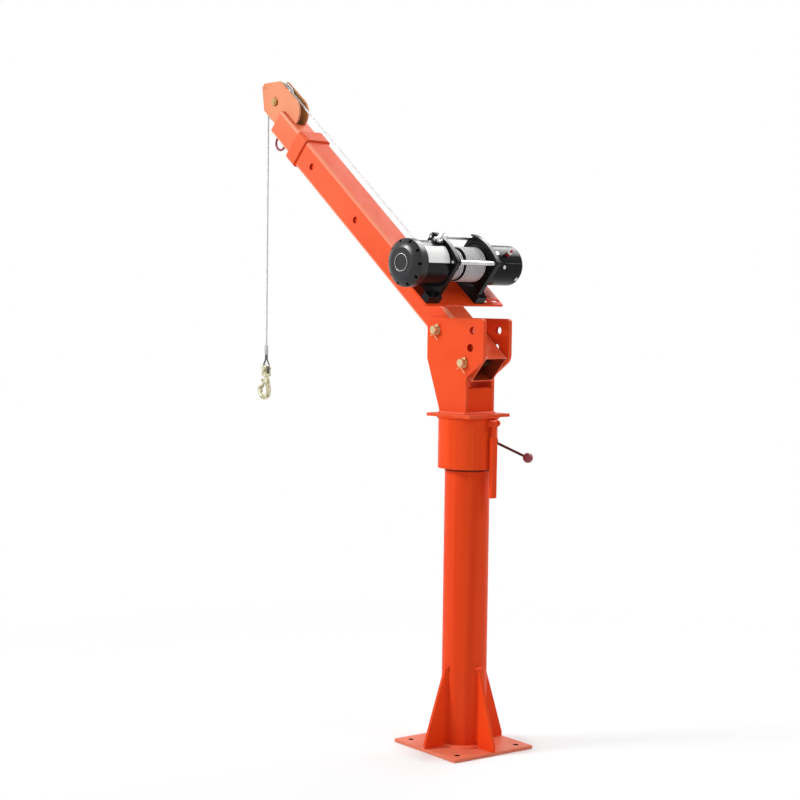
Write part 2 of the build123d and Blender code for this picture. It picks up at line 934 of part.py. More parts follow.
def build_bracket(label, y_in, way, foot_out):
    """Cast end frame: inner face at y_in, thickness towards way, recessed for the drum flange."""
    y_out = y_in + way * bracket_t
    y_mid = y_in + way * bracket_t / 2
    y_rec = y_in + way * recess_depth
    y_foot = y_out + way * foot_out
    shoulder = bracket_top - bracket_crown
    with BuildPart() as bracket:
        with BuildSketch(winch_side(max(y_in, y_out))):
            with BuildLine():
                Polyline(
                    (bracket_half, shoulder),
                    (bracket_half, -winch_rise),
                    (-bracket_half, -winch_rise),
                    (-bracket_half, shoulder),
                )
                ThreePointArc((-bracket_half, shoulder), (0, bracket_top), (bracket_half, shoulder))
            make_face()
            Circle(drum_hub_r + run_fit, mode=Mode.SUBTRACT)
            for e in (-1, 1):
                with Locations((e * tie_s, tie_h)):
                    Circle(tie_end_r + run_fit, mode=Mode.SUBTRACT)
        extrude(amount=bracket_t)
        for e in (-1, 1):
            corner = boom_point(winch_s + e * bracket_half, winch_h + shoulder, y_mid)
            fillet(bracket.edges().filter_by(Axis.Y).sort_by_distance(corner)[0], bracket_round)
        with BuildSketch(winch_side(max(y_in, y_rec))):
            Circle(recess_r)
        extrude(amount=recess_depth, mode=Mode.SUBTRACT)
        with BuildSketch(winch_side(max(y_in, y_foot))):
            for e in (-1, 1):
                with Locations((e * (foot_reach - foot_len / 2), foot_t / 2 - winch_rise)):
                    Rectangle(foot_len, foot_t)
        extrude(amount=abs(y_foot - y_in))
        with BuildSketch(plate_level(plate_top_h)):
            for place in foot_bolt_places():
                with Locations(place):
                    Circle(foot_bolt_r + run_fit)
        extrude(amount=foot_t, mode=Mode.SUBTRACT)
    save(bracket, label)


def build_foot_bolts():
    with BuildPart() as bolts:
        with BuildSketch(plate_level(plate_top_h + foot_t)):
            for place in foot_bolt_places():
                with Locations(place):
                    RegularPolygon(foot_head_r, 6)
        extrude(amount=foot_head_t)
        with BuildSketch(plate_level(boom_top_h - foot_bolt_end)):
            for place in foot_bolt_places():
                with Locations(place):
                    Circle(foot_bolt_r)
        extrude(amount=winch_plate_t + foot_t + foot_bolt_end)
        with BuildSketch(plate_level(boom_top_h - foot_nut_t)):
            for place in foot_bolt_places():
                with Locations(place):
                    RegularPolygon(foot_head_r, 6)
                    Circle(foot_bolt_r + run_fit, mode=Mode.SUBTRACT)
        extrude(amount=foot_nut_t)
    save(bolts, "foot_bolts")


def build_tie_rods():
    with BuildPart() as rods:
        with BuildSketch(winch_side(near_in)):
            for e in (-1, 1):
                with Locations((e * tie_s, tie_h)):
                    Circle(tie_r)
        extrude(amount=drum_space)
        with BuildSketch(winch_side(near_out + tie_nut_t + tie_end)):
            for e in (-1, 1):
                with Locations((e * tie_s, tie_h)):
                    Circle(tie_end_r)
        extrude(amount=drum_space + 2 * (bracket_t + tie_nut_t + tie_end))
    save(rods, "tie_rods")

    with BuildPart() as nuts:
        for y in (near_out + tie_nut_t, far_out):
            with BuildSketch(winch_side(y)):
                for e in (-1, 1):
                    with Locations((e * tie_s, tie_h)):
                        RegularPolygon(tie_nut_r, 6)
                        Circle(tie_end_r, mode=Mode.SUBTRACT)
            extrude(amount=tie_nut_t)
    save(nuts, "tie_rod_nuts")


def clutch_axis():
    """Foot on the winch axis and outward direction of the clutch knob."""
    lean = radians(clutch_tilt)
    return boom_point(winch_s, winch_h, clutch_y), along * cos(lean) + across * sin(lean)


def build_gearbox():
    with BuildPart() as housing:
        with BuildSketch(winch_side(near_out + gear_len)):
            Circle(gear_r)
        extrude(amount=gear_len)
        foot, out = clutch_axis()
        with BuildSketch(Plane(origin=foot, x_dir=(0, 1, 0), z_dir=out)):
            Circle(clutch_boss_r)
        extrude(amount=clutch_boss_top)
        with BuildSketch(Plane(origin=foot + out * clutch_boss_top, x_dir=(0, 1, 0), z_dir=out)):
            Circle(clutch_stem_r + run_fit)
        extrude(amount=-clutch_stem_len - cut_past, mode=Mode.SUBTRACT)
    save(housing, "gear_housing")

    face_y = cover_len - cover_step
    screw_ring_r = cover_r - cover_screw_r - cover_screw_inset
    with BuildPart() as cover:
        with BuildSketch(winch_axial(near_out + gear_len)):
            with BuildLine():
                Polyline(
                    (cover_rim, cover_r),
                    (0, cover_r),
                    (0, 0),
                    (face_y, 0),
                    (face_y, cover_ring_r - cover_ring_root),
                    (cover_len, cover_ring_r - cover_ring_half),
                    (cover_len, cover_ring_r + cover_ring_half),
                    (face_y, cover_ring_r + cover_ring_root),
                    (face_y, cover_face_r),
                )
                ThreePointArc(
                    (face_y, cover_face_r),
                    (cover_rim + cover_dome_out, cover_r - cover_dome_in),
                    (cover_rim, cover_r),
                )
            make_face()
        revolve(axis=winch_line)
        with BuildSketch(winch_side(near_out + gear_len + cover_len)):
            with PolarLocations(screw_ring_r, cover_screws_n):
                Circle(cover_screw_r + pocket_fit)
        extrude(amount=cover_len - cover_rim + cover_screw_t, mode=Mode.SUBTRACT)
    save(cover, "gear_cover")

    with BuildPart() as screws:
        with BuildSketch(winch_side(near_out + gear_len + cover_rim)):
            with PolarLocations(screw_ring_r, cover_screws_n):
                Circle(cover_screw_r)
                RegularPolygon(cover_socket_r, 6, mode=Mode.SUBTRACT)
        extrude(amount=cover_screw_t)
    save(screws, "cover_screws")


def build_clutch():
    foot, out = clutch_axis()
    base = Plane(origin=foot, x_dir=(0, 1, 0), z_dir=out)
    lean = radians(clutch_arm_lean)
    arm = out * cos(lean) - Vector(0, sin(lean), 0)
    with BuildPart() as knob:
        with BuildSketch(base.offset(clutch_boss_top - clutch_stem_len)):
            Circle(clutch_stem_r)
        extrude(amount=clutch_stem_len + seat)
        with BuildSketch(base.offset(clutch_boss_top + seat)):
            Circle(clutch_knob_r)
        extrude(amount=clutch_knob_t)
        chamfer(knob.faces().sort_by(Axis(origin=foot, direction=out))[-1].edges(), clutch_knob_t / 4)
        root = foot + out * (clutch_boss_top + seat + clutch_knob_t / 2)
        with BuildSketch(Plane(origin=root, x_dir=out.cross(arm), z_dir=arm)):
            RectangleRounded(clutch_arm_w, clutch_arm_t, clutch_arm_t / 4)
        extrude(amount=clutch_arm_len)
    save(knob, "clutch_knob")


def motor_spot(lean, y):
    """Plane touching the motor case at lean from the boom's direction: x along Y, outward."""
    out = along * cos(radians(lean)) + across * sin(radians(lean))
    return Plane(origin=boom_point(winch_s, winch_h, y) + out * motor_r, x_dir=(0, 1, 0), z_dir=out)


def build_motor():
    with BuildPart() as case:
        with BuildSketch(winch_axial(far_out)):
            with BuildLine():
                Polyline(
                    (-motor_len, motor_r),
                    (0, motor_r),
                    (0, 0),
                    (-motor_len - motor_cap_len, 0),
                    (-motor_len - motor_cap_len, motor_r - motor_face_drop),
                )
                ThreePointArc(
                    (-motor_len - motor_cap_len, motor_r - motor_face_drop),
                    (-motor_len - motor_dome_out, motor_r - motor_dome_in),
                    (-motor_len, motor_r),
                )
            make_face()
        revolve(axis=winch_line)
        strip_len = motor_len - strip_from
        with BuildSketch(motor_spot(strip_lean, far_out - strip_from - strip_len / 2)):
            Rectangle(strip_len, strip_w)
        extrude(amount=strip_rise, both=True)
    save(case, "motor_case")

    with BuildPart() as terminals:
        for lean in terminal_leans:
            spot = motor_spot(lean, terminal_y)
            with BuildSketch(spot.offset(-seat)):
                Circle(terminal_r)
            extrude(amount=terminal_t + seat)
            with BuildSketch(spot.offset(terminal_t)):
                Circle(stud_r)
            extrude(amount=stud_len)
        with BuildSketch(winch_side(far_out)):
            Circle(motor_r)
        extrude(amount=motor_len, mode=Mode.SUBTRACT)
    save(terminals, "motor_terminals")

    with BuildPart() as screws:
        for lean, back in motor_screw_spots:
            with BuildSketch(motor_spot(lean, far_out - back).offset(-seat)):
                Circle(motor_screw_r)
            extrude(amount=motor_screw_t + seat)
        with BuildSketch(winch_side(far_out)):
            Circle(motor_r)
        extrude(amount=motor_len, mode=Mode.SUBTRACT)
    save(screws, "motor_screws")


def drum_faces():
    """Y of the drum flanges' inner faces, near and far."""
    return near_in + drum_sink, far_in - drum_sink


def build_drum():
    y_near, y_far = drum_faces()
    step_y = top_start()
    core_top = coil_r - rope_r - run_fit
    core_under = core_top - layer_step
    with BuildPart() as drum:
        with BuildSketch(winch_axial(0)):
            Polygon(
                (near_out - hub_inset, 0),
                (near_out - hub_inset, drum_hub_r),
                (y_near + drum_flange_t, drum_hub_r),
                (y_near + drum_flange_t, drum_flange_r),
                (y_near, drum_flange_r),
                (y_near, core_under),
                (step_y, core_under),
                (step_y, core_top),
                (y_far, core_top),
                (y_far, drum_flange_r),
                (y_far - drum_flange_t, drum_flange_r),
                (y_far - drum_flange_t, drum_hub_r),
                (far_out + hub_inset, drum_hub_r),
                (far_out + hub_inset, 0),
                align=None,
            )
        revolve(axis=winch_line)
    save(drum, "winch_drum")


def top_start():
    """Y where the top layer of rope ends and the layer under it shows."""
    return rope_r + lay_gap


def rope_tangents():
    """Rope's tangent points on drum and sheave, in boom s and h, and its lean to the boom."""
    ds = sheave_s - winch_s
    dh = sheave_h - winch_h
    lean = atan2(dh, ds) + asin((coil_r + sheave_pitch_r) / hypot(ds, dh))
    low = (winch_s + coil_r * sin(lean), winch_h - coil_r * cos(lean))
    top = (sheave_s - sheave_pitch_r * sin(lean), sheave_h + sheave_pitch_r * cos(lean))
    return low, top, lean


def biarc_middle(p0, t0, p1, t1):
    """Point and heading where two arcs from p0 along t0 and to p1 along t1 join."""
    v = p1 - p0
    t = t0 + t1
    k = 2 * (1 - t0.dot(t1))
    d = (-v.dot(t) + sqrt(v.dot(t) ** 2 + k * v.dot(v))) / k
    return (p0 + p1 + (t0 - t1) * d) * 0.5, (v - t * d).normalized()


def coil(label, radius, y0, y1):
    """One rope layer from y0 to y1: half-turn biarcs, straight for a diameter at each end."""
    turns = int(abs(y1 - y0) / rope_pitch)
    end_turn = rope_tangents()[2] - pi / 2

    def place(k):
        turn = end_turn - 2 * pi * (turns - k)
        y = y0 + (y1 - y0) * k / turns
        return boom_point(winch_s + radius * cos(turn), winch_h + radius * sin(turn), y)

    def heading(k):
        turn = end_turn - 2 * pi * (turns - k)
        flat = across * cos(turn) - along * sin(turn)
        return (flat * (2 * pi * radius) + Vector(0, (y1 - y0) / turns, 0)).normalized()

    knots = [k / 2 for k in range(2 * turns + 1)]
    start = place(0) - heading(0) * (2 * rope_r)
    with BuildPart() as winding:
        with BuildLine() as path:
            Line(start, place(0))
            for a, b in zip(knots, knots[1:]):
                mid, onward = biarc_middle(place(a), heading(a), place(b), heading(b))
                TangentArc(place(a), mid, tangent=heading(a))
                TangentArc(mid, place(b), tangent=onward)
            Line(place(turns), place(turns) + heading(turns) * (2 * rope_r))
        with BuildSketch(Plane(origin=start, x_dir=(0, 1, 0), z_dir=heading(0))):
            RegularPolygon(rope_r, coil_sides)
        sweep()
    save(winding, label)
    wire = path.wire()
    run = wire.length
    section = coil_sides / 2 * rope_r**2 * sin(2 * pi / coil_sides)
    points = [wire.position_at(k * rope_r / run) for k in range(int(run / rope_r))]
    apart = int(pi * radius / rope_r)
    gaps = []
    for k, p in enumerate(points):
        for q in points[k + apart : k + 3 * apart]:
            gaps.append((p - q).length)
    print(label, "turns", turns, "length", run, "gap to itself", min(gaps) - 2 * rope_r)
    print(label, "volume over section times length", winding.part.volume / (section * run))


def build_drum_rope():
    y_near, y_far = drum_faces()
    coil("drum_rope_top", coil_r, y_far + rope_r + lay_gap, 0)
    under = top_start() + rope_r + lay_gap
    coil("drum_rope_under", coil_r - layer_step, y_near - rope_r - lay_gap, under)


def fall_x():
    """X of the hanging rope."""
    return boom_point(sheave_s, sheave_h).X + sheave_pitch_r


def build_rope():
    low, top, lean = rope_tangents()
    heading = along * cos(lean) + across * sin(lean)
    start = boom_point(*low) + heading * (2 * rope_r + 2 * run_fit)
    with BuildPart() as run:
        with BuildSketch(Plane(origin=start, x_dir=(0, 1, 0), z_dir=heading)):
            RegularPolygon(rope_r, rope_sides)
        extrude(amount=(boom_point(*top) - start).length)
    save(run, "rope_boom_run")

    with BuildPart() as wrap:
        with BuildLine(boom_side(0, sheave_s, sheave_h)) as path:
            first = 90 + degrees(lean)
            CenterArc((0, 0), sheave_pitch_r, first, -first - boom_angle)
        with BuildSketch(Plane(origin=path.line @ 0, x_dir=(0, 1, 0), z_dir=path.line % 0)):
            RegularPolygon(rope_r, rope_sides)
        sweep()
    save(wrap, "rope_wrap")

    hang = Vector(fall_x(), 0, ferrule_top)
    with BuildPart() as fall:
        with BuildSketch(Plane(origin=hang, x_dir=(0, 1, 0), z_dir=(0, 0, 1))):
            RegularPolygon(rope_r, rope_sides)
        extrude(amount=boom_point(sheave_s, sheave_h).Z - ferrule_top)
    save(fall, "rope_fall")


def build_rope_end():
    foot_z = ferrule_top - ferrule_len
    centre = Vector(fall_x(), 0, eye_z)
    with BuildPart() as ferrule:
        with BuildSketch(Plane(origin=(fall_x(), 0, foot_z))):
            Ellipse(ferrule_r, ferrule_r * ferrule_flat)
        extrude(amount=ferrule_len)
        chamfer(ferrule.faces().filter_by(Axis.Z).edges(), ferrule_chamfer)
    save(ferrule, "rope_ferrule")

    leg_x = rope_r + seat
    knee_z = eye_drop - 4 * rope_r
    touch = atan2(knee_z, leg_x) - acos(eye_r / hypot(leg_x, knee_z))
    tx = eye_r * cos(touch)
    tz = eye_r * sin(touch)
    knee_r = 3 * rope_r
    with BuildPart() as eye:
        with BuildLine(Plane(origin=centre, x_dir=(1, 0, 0), z_dir=(0, -1, 0))) as path:
            FilletPolyline((leg_x, eye_drop), (leg_x, knee_z), (tx, tz), radius=knee_r)
            CenterArc((0, 0), eye_r, degrees(touch), -180 - 2 * degrees(touch))
            FilletPolyline((-tx, tz), (-leg_x, knee_z), (-leg_x, eye_drop), radius=knee_r)
        with BuildSketch(Plane(origin=path.line @ 0, x_dir=(0, 1, 0), z_dir=path.line % 0)):
            RegularPolygon(rope_r, rope_sides)
        sweep()
    save(eye, "rope_eye")

    with BuildPart() as thimble:
        with BuildSketch(Plane(origin=centre, x_dir=(1, 0, 0), z_dir=(0, -1, 0))):
            Circle(thimble_out())
            Circle(thimble_out() - thimble_wall, mode=Mode.SUBTRACT)
        extrude(amount=thimble_half, both=True)
    save(thimble, "rope_thimble")


def thimble_out():
    """Outer radius of the thimble inside the rope's eye."""
    return eye_r - rope_r - lay_gap


def clevis_point():
    """Centre of the clevis pin, hanging in the thimble."""
    return Vector(fall_x(), 0, eye_z - clevis_sag())


def clevis_sag():
    """Drop of the clevis pin below the middle of the rope's eye."""
    return thimble_out() - thimble_wall - clevis_r - seat


def hook_plane(y):
    """Upright plane at y with its origin on the clevis pin."""
    return Plane(origin=clevis_point() + Vector(0, y, 0), x_dir=(1, 0, 0), z_dir=(0, -1, 0))


def ear_inside():
    """Half the space between the hook's ears."""
    return thimble_half + side_fit


def build_hook():
    inside = ear_inside()
    half_y = inside + ear_t
    lx, lz = latch_pivot()
    yoke_top = clevis_sag() - eye_r - rope_r - yoke_gap
    yoke_low = yoke_top - yoke_t
    drop = hypot(hook_bowl_x, hook_bowl_drop + yoke_low)
    back = atan2(hook_bowl_drop + yoke_low, -hook_bowl_x) + acos(hook_bowl_r / drop)
    tip = radians(hook_tip_angle)
    tip_x = hook_bowl_x + hook_bowl_r * cos(tip)
    tip_z = -hook_bowl_drop + hook_bowl_r * sin(tip)
    end_x = tip_x - hook_tip_rise * sin(tip)
    end_z = tip_z + hook_tip_rise * cos(tip)
    with BuildPart() as hook:
        with BuildSketch(hook_plane(half_y)):
            Circle(ear_w / 2)
            with Locations((0, yoke_low / 2)):
                Rectangle(ear_w, -yoke_low)
        extrude(amount=2 * half_y)
        with BuildSketch(hook_plane(inside)):
            with Locations((0, yoke_top / 2 + ear_w)):
                Rectangle(2 * ear_w, 2 * ear_w - yoke_top)
        extrude(amount=2 * inside, mode=Mode.SUBTRACT)
        with BuildLine(hook_plane(0)) as path:
            touch = (hook_bowl_x + hook_bowl_r * cos(back), hook_bowl_r * sin(back) - hook_bowl_drop)
            Line((0, yoke_low + shank_lap), touch)
            sweep_deg = 360 + hook_tip_angle - degrees(back)
            CenterArc((hook_bowl_x, -hook_bowl_drop), hook_bowl_r, degrees(back), sweep_deg)
            Line((tip_x, tip_z), (end_x, end_z))
        with BuildSketch(Plane(origin=path.line @ 0, x_dir=(0, 1, 0), z_dir=path.line % 0)):
            Circle(hook_wire_r)
        sweep()
        with Locations(clevis_point() + Vector(end_x, 0, end_z)):
            Sphere(hook_wire_r)
        lug = latch_w / 2 + side_fit
        lug_half = latch_pin_r + latch_lug_wall
        room_half = latch_pin_r + latch_room
        with BuildSketch(hook_plane(lug + latch_lug_t)):
            with Locations((lx, lz)):
                Circle(lug_half)
            with Locations(((lx - latch_lug_lap) / 2, lz)):
                Rectangle(lx + latch_lug_lap, 2 * lug_half)
        extrude(amount=2 * (lug + latch_lug_t))
        with BuildSketch(hook_plane(lug)):
            with Locations((lx, lz)):
                Circle(room_half)
            with Locations((lx + latch_mouth / 2, lz)):
                Rectangle(latch_mouth, 2 * room_half)
        extrude(amount=2 * lug, mode=Mode.SUBTRACT)
        with BuildSketch(hook_plane(half_y)):
            Circle(clevis_r + run_fit)
            with Locations((lx, lz)):
                Circle(latch_pin_r + run_fit)
        extrude(amount=2 * half_y, mode=Mode.SUBTRACT)
    save(hook, "hook")

    with BuildPart() as pins:
        with BuildSketch(hook_plane(half_y + clevis_head_t)):
            Circle(clevis_head_r)
        extrude(amount=clevis_head_t)
        with BuildSketch(hook_plane(half_y)):
            Circle(clevis_r)
        extrude(amount=2 * half_y)
        with BuildSketch(hook_plane(-half_y)):
            Circle(clevis_rivet_r)
        extrude(amount=clevis_rivet_t)
        with BuildSketch(hook_plane(lug + latch_lug_t)):
            with Locations((lx, lz)):
                Circle(latch_pin_r)
        extrude(amount=2 * (lug + latch_lug_t))
    save(pins, "hook_pins")

    stop_x = end_x - hook_wire_r - seat - latch_t
    stop_z = end_z - latch_stop_drop
    swing = atan2(stop_x - lx, lz - stop_z)
    reach = hypot(stop_x - lx, lz - stop_z)
    leaf = hook_plane(latch_w / 2)
    with BuildPart() as latch:
        with BuildSketch(leaf):
            with Locations((lx, lz)):
                Circle(latch_pin_r + latch_eye_wall)
            with Locations((lx + reach / 2 * sin(swing), lz - reach / 2 * cos(swing))):
                Rectangle(latch_t, reach, rotation=degrees(swing))
            with Locations((lx, lz)):
                Circle(latch_pin_r + run_fit, mode=Mode.SUBTRACT)
        extrude(amount=latch_w)
    save(latch, "latch")


def latch_pivot():
    """Latch pivot from the clevis pin, in X and Z."""
    return hook_bowl_x + latch_lead, -hook_bowl_drop / 2 - latch_low


build_base_plate()
build_base_gussets()
build_post()
build_bearing()
build_collar()
build_cheek("cheek_near", cheek_out)
build_cheek("cheek_far", -cheek_in)
build_pins()
build_brake()
build_handle()
build_boom()
build_inner_boom()
head_plate("head_plate_near", head_out)
head_plate("head_plate_far", -head_gap / 2)
build_sheave()
build_lashing_ring()
build_winch_plate()
build_bracket("bracket_near", near_in, 1, near_foot)
build_bracket("bracket_far", far_in, -1, far_foot)
build_foot_bolts()
build_tie_rods()
build_gearbox()
build_clutch()
build_motor()
build_drum()
build_drum_rope()
build_rope()
build_rope_end()
build_hook()
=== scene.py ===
"""Looks of a mini slewing crane, in metres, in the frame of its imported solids."""

import json
from math import atan2, cos, pi, radians, sin, sqrt

import bmesh
import bpy
from mathutils import Matrix, Vector


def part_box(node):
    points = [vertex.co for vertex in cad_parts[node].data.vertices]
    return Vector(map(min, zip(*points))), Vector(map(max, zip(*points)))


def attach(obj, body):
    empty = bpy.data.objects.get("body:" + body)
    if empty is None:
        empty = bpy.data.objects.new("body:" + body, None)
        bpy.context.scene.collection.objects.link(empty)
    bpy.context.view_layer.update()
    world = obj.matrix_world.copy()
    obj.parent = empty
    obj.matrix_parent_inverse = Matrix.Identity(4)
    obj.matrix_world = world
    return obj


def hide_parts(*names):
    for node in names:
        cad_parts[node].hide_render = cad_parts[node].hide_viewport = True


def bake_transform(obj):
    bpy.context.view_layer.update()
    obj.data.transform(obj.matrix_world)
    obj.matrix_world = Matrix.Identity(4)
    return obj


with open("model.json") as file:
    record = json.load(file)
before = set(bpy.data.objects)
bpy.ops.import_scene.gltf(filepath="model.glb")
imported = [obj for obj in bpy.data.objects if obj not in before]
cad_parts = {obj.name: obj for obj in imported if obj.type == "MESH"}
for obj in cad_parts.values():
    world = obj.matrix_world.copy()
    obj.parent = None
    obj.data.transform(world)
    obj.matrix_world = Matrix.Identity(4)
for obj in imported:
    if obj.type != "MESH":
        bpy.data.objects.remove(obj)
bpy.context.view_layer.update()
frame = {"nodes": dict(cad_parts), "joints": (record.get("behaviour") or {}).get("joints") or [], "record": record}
nodes = frame["nodes"]
joints = {joint["name"]: joint for joint in frame["joints"]}

# Boom frame: s along the boom from its pivot, h square above the pivot line, y across
PIVOT = Vector(joints["boom_luff"]["pos_m"])
ALONG = Vector(joints["boom_extend"]["axis"])
ACROSS = Vector((-ALONG.z, 0, ALONG.x))
SIDE = Vector((0, 1, 0))
UP = Vector((0, 0, 1))


def boom(s, h, y=0.0):
    """Point of the boom frame."""
    return PIVOT + ALONG * s + ACROSS * h + SIDE * y


def boom_place(point):
    """A point's s and h in the boom frame."""
    arm = point - PIVOT
    return arm.dot(ALONG), arm.dot(ACROSS)


DRUM = Vector(joints["drum_spin"]["pos_m"])
SHEAVE = Vector(joints["sheave_spin"]["pos_m"])
DRUM_S, DRUM_H = boom_place(DRUM)
SHEAVE_S, SHEAVE_H = boom_place(SHEAVE)


def round_winch(lean):
    """Direction square to the winch axis, at an angle from the boom's direction."""
    return ALONG * cos(lean) + ACROSS * sin(lean)


def winch_point(lean, radius, y):
    """Point round the winch axis."""
    return Vector((DRUM.x, y, DRUM.z)) + round_winch(lean) * radius


# Boom sizes: distances from the tubes' middle line, which lies at h = BOOM_H, and places along s
BOOM_H = 0.012
OUTER_INSIDE = 0.0353
OUTER_FLAT = 0.0325
INNER_INSIDE = 0.0297
INNER_FLAT = 0.0285
HEAD_GAP_HALF = 0.0122
CROSS_HOLES = (0.196, 0.426, 0.656)
CROSS_HOLE_R = 0.0093
MOUTH_S = 0.735

# Base and slewing head sizes
PLATE_TURN = radians(-8)
HOLE_OFF = 0.095
HOLE_R = 0.0073
GUSSET_HALF = 0.004
GUSSET_REACH = 0.125
LOCK_STEPS = (radians(20), radians(40))
LOCK_HOLE_R = 0.0103
# Half height of the shadow painted under the collar
COLLAR_SHADOW_HALF = 0.0065

# Winch sizes
BARREL_R = 0.0405
GEAR_R = 0.057

# Rope sizes
ROPE_R = 0.0025
ROPE_LAY = 0.034
STRANDS = 6
COIL_R = 0.042
LAYER = 2 * ROPE_R
OUTER_TURNS = 13
INNER_TURNS = 8
SHEAVE_R = 0.050

# Materials: colours are linear red, green and blue, and a noise's scale is in features per metre
NO_STRETCH = (1, 1, 1)
BEVEL_SAMPLES = 4
# Values that a ramp spreads out: of a noise, for clouds and for grain, and of an edge's turn
CLOUDS = (0.35, 0.65)
GRAIN = (0.3, 0.7)
EDGE_TURN = (0.995, 0.80)


class Graph:
    """A material's nodes around its Principled shader."""

    def __init__(self, name):
        self.material = bpy.data.materials.new(name)
        self.material.use_nodes = True
        tree = self.material.node_tree
        self.nodes = tree.nodes
        self.links = tree.links
        self.shader = tree.nodes["Principled BSDF"]
        self.place = self.nodes.new("ShaderNodeTexCoord").outputs["Object"]

    def set(self, **values):
        """Fixed values on the shader's own sockets."""
        for name, value in values.items():
            self.shader.inputs[name.replace("_", " ")].default_value = value

    def join(self, source, target):
        """A link from one socket to another."""
        self.links.new(source, target)

    def feed(self, name, source):
        """A link into one of the shader's sockets."""
        self.join(source, self.shader.inputs[name])

    def noise(self, scale, detail, stretch=NO_STRETCH):
        """Noise in the part's frame."""
        mapping = self.nodes.new("ShaderNodeMapping")
        mapping.inputs["Scale"].default_value = stretch
        self.join(self.place, mapping.inputs["Vector"])
        texture = self.nodes.new("ShaderNodeTexNoise")
        texture.inputs["Scale"].default_value = scale
        texture.inputs["Detail"].default_value = detail
        self.join(mapping.outputs["Vector"], texture.inputs["Vector"])
        return texture.outputs["Fac"]

    def ramp(self, value, low, high, start=0.0, end=1.0):
        """Value rescaled from low..high to start..end, held at both ends."""
        node = self.nodes.new("ShaderNodeMapRange")
        node.inputs["From Min"].default_value = low
        node.inputs["From Max"].default_value = high
        node.inputs["To Min"].default_value = start
        node.inputs["To Max"].default_value = end
        self.join(value, node.inputs["Value"])
        return node.outputs["Result"]

    def spread(self, grain, rough, less, more):
        """Roughness that follows a grain from rough - less to rough + more."""
        return self.ramp(grain, *GRAIN, rough - less, rough + more)

    def mix(self, amount, first, second):
        """Two colours mixed by amount; either may be a socket."""
        node = self.nodes.new("ShaderNodeMix")
        node.data_type = "RGBA"
        self.join(amount, node.inputs["Factor"])
        # Sockets 6 and 7 are the colours A and B, and output 2 is their mix
        for value, socket in ((first, node.inputs[6]), (second, node.inputs[7])):
            if isinstance(value, tuple):
                socket.default_value = (*value, 1)
            else:
                self.join(value, socket)
        return node.outputs[2]

    def math(self, operation, first, second=0.0):
        """One operation on two values, each a number or a socket."""
        node = self.nodes.new("ShaderNodeMath")
        node.operation = operation
        for value, socket in ((first, node.inputs[0]), (second, node.inputs[1])):
            if isinstance(value, float):
                socket.default_value = value
            else:
                self.join(value, socket)
        return node.outputs[0]

    def vector(self, operation, first, second=None):
        """The node of one vector operation: first is a socket, second a fixed vector, a socket or none."""
        node = self.nodes.new("ShaderNodeVectorMath")
        node.operation = operation
        self.join(first, node.inputs[0])
        if isinstance(second, Vector):
            node.inputs[1].default_value = second
        elif second is not None:
            self.join(second, node.inputs[1])
        return node

    def along(self, start, direction):
        """A point's distance from start along a direction."""
        reach = self.vector("DOT_PRODUCT", self.place, direction)
        return self.math("SUBTRACT", reach.outputs["Value"], start.dot(direction))

    def within(self, centre, half, directions):
        """1 where a point lies less than half from centre along each direction, else 0."""
        mask = 1.0
        for direction in directions:
            off = self.math("ABSOLUTE", self.along(centre, direction))
            mask = self.math("MULTIPLY", self.math("LESS_THAN", off, half), mask)
        return mask

    def from_axis(self, axis_point, axis):
        """A point's distance from an axis."""
        arm = self.vector("SUBTRACT", self.place, axis_point)
        off = self.vector("CROSS_PRODUCT", arm.outputs["Vector"], axis)
        return self.vector("LENGTH", off.outputs["Vector"]).outputs["Value"]

    def near_axes(self, axis_points, axis, radius):
        """1 where a point lies within radius of an axis through any of the axis points, else 0."""
        mask = 0.0
        for axis_point in axis_points:
            near = self.math("LESS_THAN", self.from_axis(axis_point, axis), radius)
            mask = self.math("MAXIMUM", near, mask)
        return mask

    def round_edges(self, radius):
        """Normal rounded over edges, and how far it leaves the flat face there."""
        bevel = self.nodes.new("ShaderNodeBevel")
        bevel.samples = BEVEL_SAMPLES
        bevel.inputs["Radius"].default_value = radius
        normal = bevel.outputs["Normal"]
        flat = self.nodes.new("ShaderNodeNewGeometry").outputs["Normal"]
        turn = self.vector("DOT_PRODUCT", normal, flat)
        return normal, self.ramp(turn.outputs["Value"], *EDGE_TURN)

    def bump(self, height, depth, normal):
        """Height on top of a normal into the shader's own: depth is in metres."""
        node = self.nodes.new("ShaderNodeBump")
        node.inputs["Strength"].default_value = 1.0
        node.inputs["Distance"].default_value = depth
        self.join(height, node.inputs["Height"])
        self.join(normal, node.inputs["Normal"])
        self.feed("Normal", node.outputs["Normal"])


# Paint
PAINT_EDGE_R = 0.0018
PAINT_GLOSS = 0.4
PEEL = 650
PEEL_DEPTH = 0.00005
DRIFT_SCALE = 7
DRIFT = (0.35, 0.7)
WEAR_AND_HIGHLIGHT_SCALE = 45
WEAR_AND_HIGHLIGHT = (0.15, 0.8)
CORNER_HIGHLIGHT = 0.56
STREAK_SCALE = 30
PAINT_SPREAD = (0.06, 0.08)
DULL_ROUGH = 0.75
BLACK = (0.006, 0.006, 0.0065)
ORANGE_EDGE = (0.95, 0.34, 0.19)


